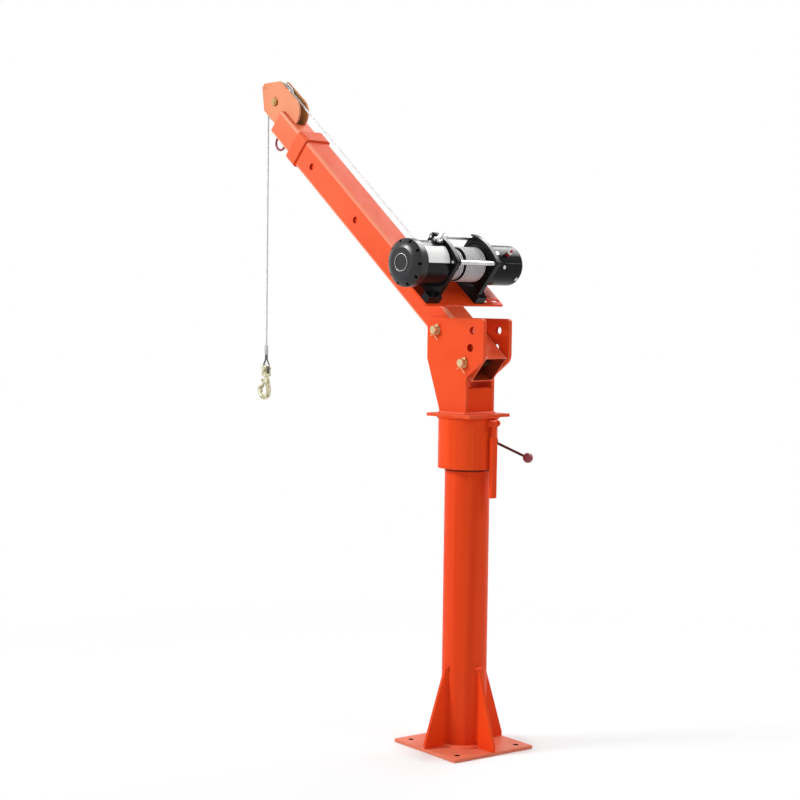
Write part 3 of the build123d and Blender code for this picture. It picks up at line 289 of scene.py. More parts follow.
def painted(
    name,
    colour,
    shade,
    edge_wear_and_highlight,
    rough,
    gloss=PAINT_GLOSS,
    peel=PEEL,
    peel_depth=PEEL_DEPTH,
    shaded_spaces=(),
    corners=None,
    drift_scale=DRIFT_SCALE,
    stretch=NO_STRETCH,
):
    """Sprayed paint: fine peel, slow drift from colour to shade, and the edge colour in patches on edges, partly
    wear and partly a painted highlight.

    bare holds spaces painted in shade, each with its colour. corners is a space painted with a highlight in the
    edge colour.
    """
    graph = Graph(name)
    normal, edge = graph.round_edges(PAINT_EDGE_R)
    drift = graph.ramp(graph.noise(drift_scale, detail=3, stretch=stretch), *DRIFT)
    body = graph.mix(drift, colour, shade)
    # Edges take the edge colour in patches: partly wear, partly a painted highlight
    wear_and_highlight = graph.ramp(graph.noise(WEAR_AND_HIGHLIGHT_SCALE, detail=4), *CLOUDS, *WEAR_AND_HIGHLIGHT)
    body = graph.mix(graph.math("MULTIPLY", edge, wear_and_highlight), body, edge_wear_and_highlight)
    # Painted highlight along round corners, in the edge colour
    if corners is not None:
        corner_highlight = graph.math("MULTIPLY", corners(graph), CORNER_HIGHLIGHT)
        body = graph.mix(corner_highlight, body, edge_wear_and_highlight)
    streaks = graph.spread(graph.noise(STREAK_SCALE, detail=5), rough, *PAINT_SPREAD)
    # Spaces painted in shade take their own darker colour
    for space, shade_colour in shaded_spaces:
        shaded = space(graph)
        body = graph.mix(shaded, body, shade_colour)
        streaks = graph.math("MAXIMUM", streaks, graph.math("MULTIPLY", shaded, DULL_ROUGH))
    graph.feed("Base Color", body)
    graph.feed("Roughness", streaks)
    graph.set(Specular_IOR_Level=gloss)
    graph.bump(graph.noise(peel, detail=2), peel_depth, normal)
    return graph.material


def orange(name):
    """The crane's orange paint."""
    colours = (0.86, 0.069, 0.0115), (0.78, 0.056, 0.0090), ORANGE_EDGE
    return painted(name, *colours, rough=0.36, gloss=0.06)


def rolled(name, colour, shade, shaded_spaces=()):
    """The orange paint on a round tube, in faint upright stripes of painted reflection."""
    reflection_bands = {"drift_scale": 55, "stretch": (1, 1, 0.02)}
    return painted(name, colour, shade, ORANGE_EDGE, rough=0.36, gloss=0.06, shaded_spaces=shaded_spaces, **reflection_bands)


def sheen_orange(name, shaded_spaces=(), corners=None):
    """The orange paint, paled with a painted sheen."""
    colours = (0.82, 0.108, 0.040), (0.76, 0.090, 0.031), (0.95, 0.40, 0.27)
    return painted(name, *colours, rough=0.36, gloss=0.03, shaded_spaces=shaded_spaces, corners=corners)


def highlit_band_orange(name):
    """The orange paint of the boom's mouth band, paled as a painted highlight."""
    colours = (0.81, 0.134, 0.058), (0.76, 0.112, 0.045), (0.95, 0.42, 0.28)
    return painted(name, *colours, rough=0.38, gloss=0.06)


def sheen_cheek_orange(name, shaded_spaces):
    """The orange paint of the cheek plates, paled a little with a painted sheen."""
    colours = (0.86, 0.086, 0.019), (0.79, 0.072, 0.015), (0.95, 0.38, 0.23)
    return painted(name, *colours, rough=0.38, gloss=0.12, shaded_spaces=shaded_spaces)


def highlit_inner_orange(name, shaded_spaces, corners):
    """The orange paint of the boom's inner tube, paled as a painted highlight."""
    colours = (0.81, 0.176, 0.082), (0.75, 0.138, 0.061), (0.95, 0.44, 0.29)
    return painted(name, *colours, rough=0.40, gloss=0.15, shaded_spaces=shaded_spaces, corners=corners)


def sheen_base_orange(name, shaded_spaces):
    """The orange paint of the base plate, paled with a painted sheen."""
    colours = (0.78, 0.205, 0.112), (0.73, 0.165, 0.087), (0.93, 0.46, 0.33)
    return painted(name, *colours, rough=0.42, gloss=0.15, shaded_spaces=shaded_spaces)


def highlit_head_orange(name, shaded_spaces):
    """The boom head's orange paint, paled as a painted highlight."""
    colours = (0.71, 0.272, 0.146), (0.67, 0.225, 0.115), (0.93, 0.50, 0.34)
    return painted(name, *colours, rough=0.40, gloss=0.12, shaded_spaces=shaded_spaces)


def highlit_weld_paint(name):
    """Orange paint over lumpy weld, paled as a painted highlight."""
    colours = (0.90, 0.165, 0.068), (0.82, 0.095, 0.030), (0.95, 0.40, 0.25)
    return painted(name, *colours, rough=0.36, gloss=0.25, peel=400, peel_depth=0.0003)


def red(name, *colours, rough):
    """Smooth red paint."""
    return painted(name, *colours, rough=rough, peel=900, peel_depth=0.00003)


def black(name, *colours, rough, gloss):
    """Smooth black paint of the winch."""
    return painted(name, *colours, rough=rough, gloss=gloss, peel=1100, peel_depth=0.00004)


# Metal and plastic
METAL_EDGE_R = 0.0005
METAL_CLOUDS = 25
METAL_GRAIN = 900
METAL_SPREAD = (0.07, 0.1)
METAL_DEPTH = 0.00002
ZINC = (0.74, 0.56, 0.32), (0.60, 0.42, 0.21)
ZINC_ROUGH = 0.30
ZINC_METAL = 0.7
# Painted shade on the lock pin between the boom's walls
PIN_INSIDE_SHADE = (0.09, 0.036, 0.018)
ROPE_CLOUDS = 160
ROPE_GRAIN = 2500
# Rope on the drum: lighter steel as a painted highlight, and painted shade in the creases between the turns
COIL_STEEL_LIT = (0.80, 0.80, 0.81), (0.66, 0.66, 0.67)
COIL_CREASE_SHADE = (0.035, 0.035, 0.036)
COIL_HEIGHTS = (0.2, 0.85)
BARREL_STEEL = (0.10, 0.10, 0.10)
DRUM_GRAIN = 300
DRUM_ROUGH = (0.22, 0.38)
PLASTIC_EDGE_R = 0.0004
PLASTIC_CLOUDS = 40
PLASTIC_GRAIN = 1500
PLASTIC_SPREAD = (0.05, 0.08)
PLASTIC_DEPTH = 0.00003


def plated(
    name, colour, tint, rough, drift=METAL_CLOUDS, grain=METAL_GRAIN, stretch=NO_STRETCH, metal=1.0
):
    """Bare or plated metal: cloudy tint, fine grain in the roughness and the surface."""
    graph = Graph(name)
    normal, _ = graph.round_edges(METAL_EDGE_R)
    cloud = graph.ramp(graph.noise(drift, detail=3), *CLOUDS)
    graph.feed("Base Color", graph.mix(cloud, colour, tint))
    fine = graph.noise(grain, detail=3, stretch=stretch)
    graph.feed("Roughness", graph.spread(fine, rough, *METAL_SPREAD))
    graph.set(Metallic=metal)
    graph.bump(fine, METAL_DEPTH, normal)
    return graph.material


def dark_zinc(name):
    """Brown zinc plate of the boom head's fasteners."""
    return plated(name, (0.50, 0.30, 0.12), (0.40, 0.22, 0.08), 0.34, metal=0.7)


def wire(name, colour, tint, metal):
    """Fine-grained steel of the rope."""
    return plated(name, colour, tint, 0.40, ROPE_CLOUDS, ROPE_GRAIN, metal=metal)


def shaded_lock_pin():
    """Zinc-plated lock pin, with painted shade between the boom's walls."""
    graph = Graph("lock_pin_zinc")
    normal, _ = graph.round_edges(METAL_EDGE_R)
    cloud = graph.ramp(graph.noise(METAL_CLOUDS, detail=3), *CLOUDS)
    shaded = graph.within(Vector(), OUTER_INSIDE, (SIDE,))
    graph.feed("Base Color", graph.mix(shaded, graph.mix(cloud, *ZINC), PIN_INSIDE_SHADE))
    graph.feed("Roughness", graph.ramp(shaded, 0.0, 1.0, ZINC_ROUGH, DULL_ROUGH))
    graph.set(Metallic=ZINC_METAL)
    graph.bump(graph.noise(METAL_GRAIN, detail=3), METAL_DEPTH, normal)
    return graph.material


def coil_steel(name, radius):
    """Rope steel on the drum, lighter than the running rope as a painted highlight, with painted shade between the
    turns: radius is to the rope's middle.
    """
    graph = Graph(name)
    cloud = graph.ramp(graph.noise(ROPE_CLOUDS, detail=3), *CLOUDS)
    low, high = (radius + share * ROPE_R for share in COIL_HEIGHTS)
    height = graph.ramp(graph.from_axis(DRUM, SIDE), low, high)
    graph.feed("Base Color", graph.mix(height, COIL_CREASE_SHADE, graph.mix(cloud, *COIL_STEEL_LIT)))
    graph.set(Metallic=0.2, Roughness=0.42)
    return graph.material


def drum_paint():
    """Black drum whose barrel is unpainted steel under the rope."""
    graph = Graph("drum_paint")
    barrel = graph.near_axes([DRUM], SIDE, BARREL_R)
    graph.feed("Base Color", graph.mix(barrel, BLACK, BARREL_STEEL))
    graph.feed("Metallic", barrel)
    graph.feed("Roughness", graph.ramp(graph.noise(DRUM_GRAIN, detail=3), *GRAIN, *DRUM_ROUGH))
    graph.set(Specular_IOR_Level=0.22)
    return graph.material


def moulded(name, colour, shade, rough):
    """Moulded plastic with a fine sand texture."""
    graph = Graph(name)
    normal, _ = graph.round_edges(PLASTIC_EDGE_R)
    cloud = graph.ramp(graph.noise(PLASTIC_CLOUDS, detail=2), *CLOUDS)
    graph.feed("Base Color", graph.mix(cloud, colour, shade))
    fine = graph.noise(PLASTIC_GRAIN, detail=2)
    graph.feed("Roughness", graph.spread(fine, rough, *PLASTIC_SPREAD))
    graph.bump(fine, PLASTIC_DEPTH, normal)
    return graph.material


finish = {
    "orange": orange("orange_paint"),
    "dark_red": red(
        "dark_red_paint", (0.29, 0.034, 0.052), (0.23, 0.026, 0.040), (0.42, 0.09, 0.11), rough=0.26
    ),
    "black_paint": black(
        "black_paint", BLACK, (0.009, 0.009, 0.0095), (0.06, 0.06, 0.065), rough=0.22, gloss=0.15
    ),
    "zinc": plated("zinc_plate", *ZINC, ZINC_ROUGH, metal=ZINC_METAL),
    "bright_steel": plated(
        "bright_steel", (0.66, 0.66, 0.67), (0.52, 0.52, 0.54), 0.22, 30, 700, stretch=(1, 0.05, 1)
    ),
    "rope_steel": wire("rope_steel", (0.66, 0.66, 0.66), (0.52, 0.52, 0.53), metal=0.2),
    "aluminium": plated("aluminium", (0.50, 0.50, 0.51), (0.38, 0.38, 0.39), 0.40, 60, 1400),
    "bronze": plated("bronze", (0.50, 0.33, 0.15), (0.42, 0.27, 0.12), 0.36),
    "nylon": moulded("nylon", (0.94, 0.94, 0.93), (0.89, 0.89, 0.88), 0.45),
    "terminal_red": moulded("terminal_red", (0.34, 0.02, 0.03), (0.25, 0.015, 0.02), 0.35),
}

# Spaces in the paint: functions of a material's graph that give 1 inside, 0 outside, or a share
# Painted sheen: the outer tube's sides pale towards the mouth over this run, up to this share
SHEEN_RUN = (0.15, 0.72)
SHEEN_MOST = 0.18


def tube_inside(half):
    """Space inside a boom tube whose walls begin at half from its middle, where shade is painted."""
    return lambda graph: graph.within(boom(0, BOOM_H), half, (SIDE, ACROSS))


def tube_corner_highlight(flat):
    """Space of a boom tube's four round corners, past flats that reach flat from its middle, where a highlight is
    painted.
    """

    def mask(graph):
        found = 1.0
        for direction in (SIDE, ACROSS):
            inside = graph.within(boom(0, BOOM_H), flat, (direction,))
            found = graph.math("MULTIPLY", graph.math("SUBTRACT", 1.0, inside), found)
        return found

    return mask


def outer_tube_highlight(graph):
    """Painted highlight on the round corners of the boom's outer tube, and painted sheen on a share of its sides
    that grows towards the mouth.
    """
    sheen_share = graph.ramp(graph.along(PIVOT, ALONG), *SHEEN_RUN, 0.0, SHEEN_MOST)
    return graph.math("MAXIMUM", tube_corner_highlight(OUTER_FLAT)(graph), sheen_share)


def slid_in(graph):
    """Stretch of the boom's inner tube that stands inside the outer tube at rest, where shade is painted."""
    return graph.math("LESS_THAN", graph.along(PIVOT, ALONG), MOUTH_S)


def cross_holes(graph):
    """Space of the cross holes in the boom's outer tube, where shade is painted."""
    return graph.near_axes([boom(s, BOOM_H) for s in CROSS_HOLES], SIDE, CROSS_HOLE_R)


def between_plates(graph):
    """Space between the boom's head plates, where shade and a yellowish reflection of the zinc sheave are painted.
    """
    return graph.within(Vector(), HEAD_GAP_HALF, (SIDE,))


def lock_holes(graph):
    """Space of the cheeks' two free lock holes, turned about the pivot from the lock pin, where shade is painted.
    """
    low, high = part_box("lock_pin")
    arm = (low + high) / 2 - PIVOT
    spots = [PIVOT + Matrix.Rotation(step, 3, "Y") @ arm for step in LOCK_STEPS]
    return graph.near_axes(spots, SIDE, LOCK_HOLE_R)


def shadow_under_collar(graph):
    """Painted shadow: a dark band round the post under the collar's foot."""
    return graph.within(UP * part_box("slew_collar")[0].z, COLLAR_SHADOW_HALF, (UP,))


def bolt_holes(graph):
    """Space of the four bolt holes in the base plate, where shade is painted."""
    turns = [PLATE_TURN + pi / 4 + quarter * pi / 2 for quarter in range(4)]
    spots = [Vector((cos(turn), sin(turn), 0)) * HOLE_OFF * sqrt(2) for turn in turns]
    return graph.near_axes(spots, UP, HOLE_R)


# Finishes of single nodes, in place of their slot's
# Painted shade inside the boom tubes
TUBE_INSIDE_SHADE = (0.30, 0.034, 0.012)
# Painted shade in the base plate's bolt holes
BOLT_HOLE_SHADE = (0.03, 0.010, 0.008)
# Painted shade on the walls of the cross holes and lock holes
HOLE_WALL_SHADE = (0.54, 0.018, 0.003)
# Painted shadow on the post under the collar
COLLAR_SHADOW = (0.20, 0.020, 0.007)
# Painted shade on the inner tube where it stands inside the outer tube
SLID_IN_SHADE = (0.76, 0.066, 0.013)
# Painted shade and a painted yellowish reflection between the head plates
PLATE_GAP_SHADE = (0.60, 0.33, 0.125)
pale_zinc = plated("pale_zinc", (0.78, 0.76, 0.57), (0.34, 0.31, 0.16), 0.20, 90, metal=0.6)
special = {
    "winch_drum": drum_paint(),
    "lock_pin": shaded_lock_pin(),
    "boom_outer_tube": sheen_orange(
        "outer_tube_paint",
        ((tube_inside(OUTER_INSIDE), TUBE_INSIDE_SHADE), (cross_holes, HOLE_WALL_SHADE)),
        outer_tube_highlight,
    ),
    "boom_inner_tube": highlit_inner_orange(
        "inner_tube_paint",
        ((slid_in, SLID_IN_SHADE), (tube_inside(INNER_INSIDE), TUBE_INSIDE_SHADE)),
        tube_corner_highlight(INNER_FLAT),
    ),
    "boom_mouth_band": highlit_band_orange("mouth_band_paint"),
    "head_plate_near": highlit_head_orange("near_plate_paint", ((between_plates, PLATE_GAP_SHADE),)),
    "head_plate_far": highlit_head_orange("far_plate_paint", ((between_plates, PLATE_GAP_SHADE),)),
    "base_plate": sheen_base_orange("base_plate_paint", ((bolt_holes, BOLT_HOLE_SHADE),)),
    # The post's orange is darker than the collar's as painted shade
    "post_tube": rolled(
        "post_paint", (0.82, 0.069, 0.0130), (0.73, 0.053, 0.0090), ((shadow_under_collar, COLLAR_SHADOW),)
    ),
    "slew_collar": rolled("collar_paint", (0.87, 0.078, 0.0150), (0.79, 0.061, 0.0105)),
    "head_flange": sheen_orange("flange_paint"),
    "cheek_near": sheen_cheek_orange("near_cheek_paint", ((lock_holes, HOLE_WALL_SHADE),)),
    "cheek_far": sheen_cheek_orange("far_cheek_paint", ((lock_holes, HOLE_WALL_SHADE),)),
    "brake_lever_rod": red(
        "rod_paint", (0.11, 0.016, 0.026), (0.085, 0.012, 0.020), (0.22, 0.05, 0.06), rough=0.30
    ),
    # The cover's black is lighter and bluer than the other black paint: a painted sheen
    "gear_cover": black(
        "cover_paint",
        (0.012, 0.012, 0.0140),
        (0.017, 0.017, 0.020),
        (0.08, 0.08, 0.088),
        rough=0.28,
        gloss=0.36,
    ),
    # The motor's black is darker than the other black paint: painted shade
    "motor_case": black(
        "motor_paint", (0.004, 0.004, 0.0045), BLACK, (0.06, 0.06, 0.065), rough=0.20, gloss=0.09
    ),
    "sheave": plated("sheave_steel", (0.44, 0.44, 0.44), (0.34, 0.33, 0.32), 0.42, metal=0.6),
    "sheave_axle_bolt": dark_zinc("axle_zinc"),
    "rope_keeper_pin": dark_zinc("keeper_zinc"),
    "hook": pale_zinc,
    "hook_pins": pale_zinc,
    "latch": pale_zinc,
}

for subpart in frame["record"]["subparts"]:
    name = subpart["node"]
    nodes[name].data.materials.clear()
    nodes[name].data.materials.append(special.get(name, finish[subpart["material_slot"]]))


# Mesh helpers
def piece(name, verts, faces, slot, body=None, smooth=True):
    """A new object with a finish, riding on a body if one is given."""
    mesh = bpy.data.meshes.new(name)
    mesh.from_pydata([tuple(v) for v in verts], [], faces)
    mesh.validate()
    work = bmesh.new()
    work.from_mesh(mesh)
    bmesh.ops.recalc_face_normals(work, faces=work.faces)
    work.to_mesh(mesh)
    work.free()
    for polygon in mesh.polygons:
        polygon.use_smooth = smooth
    mesh.materials.append(finish[slot])
    made = bpy.data.objects.new(name, mesh)
    bpy.context.scene.collection.objects.link(made)
    if body is not None:
        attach(made, body)
    return made


def ring_faces(rings, sides, closed=False):
    """Quads between successive rings of points, capped at both ends unless closed."""
    faces = []
    for k in range(rings if closed else rings - 1):
        a = k * sides
        b = (k + 1) % rings * sides
        for i in range(sides):
            j = (i + 1) % sides
            faces.append((a + i, a + j, b + j, b + i))
    if not closed:
        faces.append(tuple(range(sides)))
        faces.append(tuple(range((rings - 1) * sides, rings * sides)))
    return faces


def lengths(points):
    """Distance along a line of points, for each of them."""
    run = [0.0]
    for a, b in zip(points, points[1:]):
        run.append(run[-1] + (b - a).length)
    return run


def headings(points):
    """Direction of travel at each point."""
    before = points[:1] + points[:-1]
    after = points[1:] + points[-1:]
    return [(b - a).normalized() for a, b in zip(before, after)]


# Ropes
STRAND_POINTS = 4
RUN_STEP = 0.003
WRAP_SPAN_POINTS = 14
COIL_SPAN_POINTS = 6
EYE_SPAN_POINTS = 8


def route_points(route, per_span):
    """Points read from the smooth line that a route's points control."""
    curve = bpy.data.curves.new("route", "CURVE")
    curve.dimensions = "3D"
    curve.resolution_u = per_span
    spline = curve.splines.new("NURBS")
    spline.points.add(len(route) - 1)
    for point, place in zip(spline.points, route):
        point.co = (*place, 1)
    spline.order_u = 3
    spline.use_endpoint_u = True
    holder = bpy.data.objects.new("route", curve)
    mesh = bpy.data.meshes.new_from_object(holder)
    points = [vertex.co.copy() for vertex in mesh.vertices]
    bpy.data.objects.remove(holder)
    bpy.data.curves.remove(curve)
    bpy.data.meshes.remove(mesh)
    return points


def strand_profile():
    """Outline of a rope's strands, circles of half its radius: angles and distances from the middle."""
    points = STRANDS * STRAND_POINTS
    outline = []
    for k in range(points):
        off = (k % STRAND_POINTS) / STRAND_POINTS * 2 - 1
        outline.append((2 * pi * k / points, ROPE_R * cos(off * pi / STRANDS)))
    return outline


def rope(name, points, body=None):
    """Laid wire rope along points: strands that twist one turn in each lay length."""
    outline = strand_profile()
    verts = []
    for point, heading, run in zip(points, headings(points), lengths(points)):
        side = (SIDE - heading * SIDE.dot(heading)).normalized()
        out = heading.cross(side)
        twist = 2 * pi * run / ROPE_LAY
        for angle, reach in outline:
            verts.append(point + (side * cos(angle + twist) + out * sin(angle + twist)) * reach)
    return piece(name, verts, ring_faces(len(points), len(outline)), "rope_steel", body)


def taut_rope(name, node, start, end):
    """Tight rope from start to end, stretching between two bodies, in place of a node."""
    route = [start, (start + end) / 2, end]
    points = route_points(route, int((end - start).length / RUN_STEP))
    made = rope(name, points)
    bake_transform(made)
    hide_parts(node)
    return made, points


FALL_X = SHEAVE.x + SHEAVE_R
FALL_TOP = Vector((FALL_X, 0, SHEAVE.z))
FALL_END = Vector((FALL_X, 0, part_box("rope_fall")[0].z))
RUN_START = boom(DRUM_S, DRUM_H - COIL_R)
RUN_END = boom(SHEAVE_S, SHEAVE_H + SHEAVE_R)


def boom_rope():
    """Rope along the boom, from under the drum to the top of the sheave."""
    made, points = taut_rope("boom_rope", "rope_boom_run", RUN_START, RUN_END)


def hanging_rope():
    """Rope from the sheave down to the ferrule."""
    made, points = taut_rope("hanging_rope", "rope_fall", FALL_TOP, FALL_END)


WRAP_CORNERS = 4


def wrap_route():
    """Control points of the rope round the sheave: its two ends and the corners between them."""
    first = pi / 2 + atan2(ALONG.z, ALONG.x)
    step = first / WRAP_CORNERS
    reach = SHEAVE_R / cos(step / 2)
    route = [RUN_END]
    for k in range(WRAP_CORNERS):
        turn = first - step * (k + 0.5)
        route.append(SHEAVE + Vector((cos(turn), 0, sin(turn))) * reach)
    route.append(FALL_TOP)
    return route


def sheave_rope():
    """Rope over the sheave."""
    points = route_points(wrap_route(), WRAP_SPAN_POINTS)
    made = rope("sheave_rope", points)
    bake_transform(made)
    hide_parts("rope_wrap")


COIL_POINTS = 16


def winding(name, node, radius, y0, y1, turns):
    """One layer of rope on the drum, from y0 to y1, ending at the drum's underside."""
    steps = turns * COIL_POINTS
    # The smooth line runs inside its control points, which stand out so that it keeps the radius
    reach = radius / (0.75 + 0.25 * cos(2 * pi / COIL_POINTS))
    route = []
    for k in range(steps + 1):
        turn = -pi / 2 - 2 * pi * (steps - k) / COIL_POINTS
        route.append(winch_point(turn, reach, y0 + (y1 - y0) * k / steps))
    made = rope(name, route_points(route, COIL_SPAN_POINTS), "drum")
    made.data.materials[0] = coil_steel(f"{name}_steel", radius)
    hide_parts(node)


def drum_rope():
    """Both layers of rope on the drum."""
    top_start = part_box("drum_rope_top")[0].y + ROPE_R
    winding("drum_rope_outer_layer", "drum_rope_top", COIL_R, top_start, 0.0, OUTER_TURNS)
    low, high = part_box("drum_rope_under")
    ends = (high.y - ROPE_R, low.y + ROPE_R)
    winding("drum_rope_inner_layer", "drum_rope_under", COIL_R - LAYER, *ends, INNER_TURNS)


EYE_R = 0.0125
EYE_LEG = 0.0028
EYE_NECK = ((EYE_LEG, 0.0285), (0.0045, 0.0200), (0.0115, 0.0100))
EYE_STEP = radians(40)
eye_low, eye_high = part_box("rope_eye")
EYE = Vector((FALL_X, 0, eye_low.z + ROPE_R + EYE_R))


def eye_route():
    """Control points of the loop below the ferrule: down one leg, round and up the other."""
    right = [(EYE_LEG, eye_high.z - EYE.z), *EYE_NECK]
    reach = EYE_R / cos(EYE_STEP / 2)
    for turn in (2 * EYE_STEP - pi / 2, EYE_STEP - pi / 2):
        right.append((reach * cos(turn), reach * sin(turn)))
    bottom = [(0.0, -reach)]
    left = [(-x, z) for x, z in reversed(right)]
    return [EYE + Vector((x, 0, z)) for x, z in right + bottom + left]


def rope_eye():
    """Loop of rope round the thimble, in dark steel."""
    points = route_points(eye_route(), EYE_SPAN_POINTS)
    made = rope("rope_eye_loop", points, "rope_end")
    made.data.materials[0] = wire("dark_loop_rope", (0.16, 0.16, 0.16), (0.09, 0.09, 0.09), metal=0.35)
    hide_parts("rope_eye")


boom_rope()
hanging_rope()
sheave_rope()
drum_rope()
rope_eye()


# Weld beads
BEAD_SIDES = 8
BEAD_STEP = 0.0015
RING_SIDES = 96
RIPPLE = 0.0048
RIPPLE_LOW = 0.74
RIPPLE_RISE = 0.26
WANDER = 0.07
WANDER_RATE = 731
BEAD_END = 0.25


def even(corners):
    """Points spaced evenly along a line of corners."""
    points = []
    for a, b in zip(corners, corners[1:]):
        steps = max(1, round((b - a).length / BEAD_STEP))
        points += [a.lerp(b, k / steps) for k in range(steps)]
    return points + [corners[-1]]


def circle(centre, radius):
    """Closed level circle of points."""
    turns = [2 * pi * k / RING_SIDES for k in range(RING_SIDES + 1)]
    return [centre + Vector((cos(turn), sin(turn), 0)) * radius for turn in turns]


def bead(corners, radius, up):
    """Points and faces of one weld bead: a rippled round line along corners, in a plane square to up."""
    points = even(corners)
    runs = lengths(points)
    verts = []
    for point, heading, run in zip(points, headings(points), runs):
        side = up.cross(heading).normalized()
        ripple = RIPPLE_LOW + RIPPLE_RISE * abs(sin(pi * run / RIPPLE))
        swell = radius * (ripple + WANDER * sin(run * WANDER_RATE))
        swell *= min(1.0, BEAD_END + min(run, runs[-1] - run) / radius)
        for i in range(BEAD_SIDES):
            turn = 2 * pi * i / BEAD_SIDES
            verts.append(point + (side * cos(turn) + up * sin(turn)) * swell)
    return verts, ring_faces(len(points), BEAD_SIDES)


def welds(name, runs, body, paint):
    """Several weld beads as one piece: runs hold corners, radius and up."""
    verts = []
    faces = []
    for corners, radius, up in runs:
        more, quads = bead(corners, radius, up)
        faces += [tuple(i + len(verts) for i in quad) for quad in quads]
        verts += more
    made = piece(name, verts, faces, "orange", body)
    made.data.materials[0] = paint


plain_weld = finish["orange"]
highlit_weld = highlit_weld_paint("highlit_weld")

# Welds of the base: a bead's size is its radius, and its lift or gap is from the faces that it joins
PLATE_SEAM_R = 0.0032
PLATE_SEAM_LIFT = 0.0008
PLATE_SEAM_SHORT = 0.004
POST_SEAM_R = 0.0030
POST_SEAM_GAP = 0.0006
GUSSET_GAP = 0.0008
TIP_R = 0.0052
TIP_HALF = 0.010
TIP_PLACES = ((0.001, 0.003), (0.005, 0.001))
FOOT_LIFT = 0.0005
FOOT_RINGS = ((0.001, 0.0062), (0.0088, 0.0052))
base_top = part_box("base_plate")[1].z
post_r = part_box("post_tube")[1].x
gusset_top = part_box("base_gussets")[1].z


def gusset_runs():
    """Weld runs of the four gussets: along the plate and up the post, and two blobs over each tip."""
    seams = []
    tips = []
    for quarter in range(4):
        turn = PLATE_TURN + quarter * pi / 2
        out = Vector((cos(turn), sin(turn), 0))
        side = UP.cross(out)
        for way in (-1, 1):
            edge = side * (GUSSET_HALF + GUSSET_GAP) * way
            foot = out * post_r + edge + UP * (base_top + PLATE_SEAM_LIFT)
            length = GUSSET_REACH - post_r - PLATE_SEAM_SHORT
            seams.append(([foot, foot + out * length], PLATE_SEAM_R, UP))
            low = out * (post_r + POST_SEAM_GAP) + edge + UP * base_top
            seams.append(([low, low + UP * (gusset_top - base_top)], POST_SEAM_R, out))
        for reach, rise in TIP_PLACES:
            tip = out * (post_r + reach) + UP * (gusset_top + rise)
            tips.append(([tip - side * TIP_HALF, tip + side * TIP_HALF], TIP_R, UP))
    return seams, tips


def base_welds():
    """Beads where post, gussets and base plate meet."""
    seams, tips = gusset_runs()
    foot = UP * (base_top + FOOT_LIFT)
    rings = [(circle(foot, post_r + gap), size, UP) for gap, size in FOOT_RINGS]
    welds("base_welds", rings, "base", highlit_weld)
    welds("gusset_welds", seams + tips, "base", plain_weld)


# Welds of the slewing head
FLANGE_SEAM_R = 0.0048
FLANGE_SEAM_FRONT = 0.049
HEAD_GAP = 0.001
COLLAR_SEAM_R = 0.0040
STUB_SEAM_R = 0.0036
STUB_SEAM_IN = 0.0025
STUB_SEAM_GAP = 0.0015
STUB_TOP_R = 0.0030
STUB_TOP_IN = 0.006


def head_welds():
    """Beads of the slewing head: collar, flange, stub and cheeks."""
    low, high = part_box("head_flange")
    collar_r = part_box("slew_collar")[1].x
    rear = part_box("head_stub_tube")[0].x
    stub_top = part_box("head_stub_tube")[1].z
    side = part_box("cheek_near")[1].y
    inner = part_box("cheek_near")[0].y
    front = FLANGE_SEAM_FRONT
    top = high.z + HEAD_GAP
    loop = [(rear, side), (front, side), (front, -side), (rear, -side), (rear, side)]
    flange = [Vector((x, y, top)) for x, y in loop]
    welds("flange_welds", [(flange, FLANGE_SEAM_R, UP)], "head", highlit_weld)
    runs = [(circle(UP * (low.z - HEAD_GAP), collar_r + HEAD_GAP), COLLAR_SEAM_R, UP)]
    seam = rear + STUB_SEAM_IN
    for y in (inner - STUB_SEAM_GAP, STUB_SEAM_GAP - inner):
        runs.append(([Vector((seam, y, top)), Vector((seam, y, stub_top))], STUB_SEAM_R, SIDE))
    ledge = [Vector((rear + STUB_TOP_IN, y, stub_top)) for y in (-inner, inner)]
    runs.append((ledge, STUB_TOP_R, UP))
    welds("head_welds", runs, "head", plain_weld)


# Welds of the boom
PLATE_SIDE_R = 0.0032
PLATE_SIDE_ENDS = (0.032, 0.168)
PLATE_SIDE_IN = 0.004
PLATE_SIDE_DROP = 0.002
PLATE_REAR_R = 0.0036
PLATE_REAR_S = 0.0295
PLATE_REAR_IN = 0.008
PLATE_REAR_LIFT = 0.001
BAND_SEAM_R = 0.0028
BAND_SEAM_S = 0.717
BAND_SEAM_GAP = 0.0004


def boom_welds():
    """Beads of the winch plate and of the mouth band on the boom's outer tube."""
    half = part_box("boom_outer_tube")[1].y
    top = BOOM_H + half
    rear_ys = (PLATE_REAR_IN - half, half - PLATE_REAR_IN)
    rear = [boom(PLATE_REAR_S, top + PLATE_REAR_LIFT, y) for y in rear_ys]
    welds("winch_plate_weld", [(rear, PLATE_REAR_R, ACROSS)], "boom", highlit_weld)
    runs = []
    for y in (half - PLATE_SIDE_IN, PLATE_SIDE_IN - half):
        seam = [boom(s, top - PLATE_SIDE_DROP, y) for s in PLATE_SIDE_ENDS]
        runs.append((seam, PLATE_SIDE_R, ACROSS))
    reach = half + BAND_SEAM_GAP
    ring = [(-1, -1), (1, -1), (1, 1), (-1, 1), (-1, -1)]
    band = [boom(BAND_SEAM_S, BOOM_H + h * reach, y * reach) for y, h in ring]
    runs.append((band, BAND_SEAM_R, ALONG))
    welds("boom_welds", runs, "boom", plain_weld)


base_welds()
head_welds()
boom_welds()


# Trim
LABEL_ACROSS = 24
LABEL_DEEP = 8
HOOP_POINTS = 72
WIRE_SIDES = 8
NUT_SIDES = 20


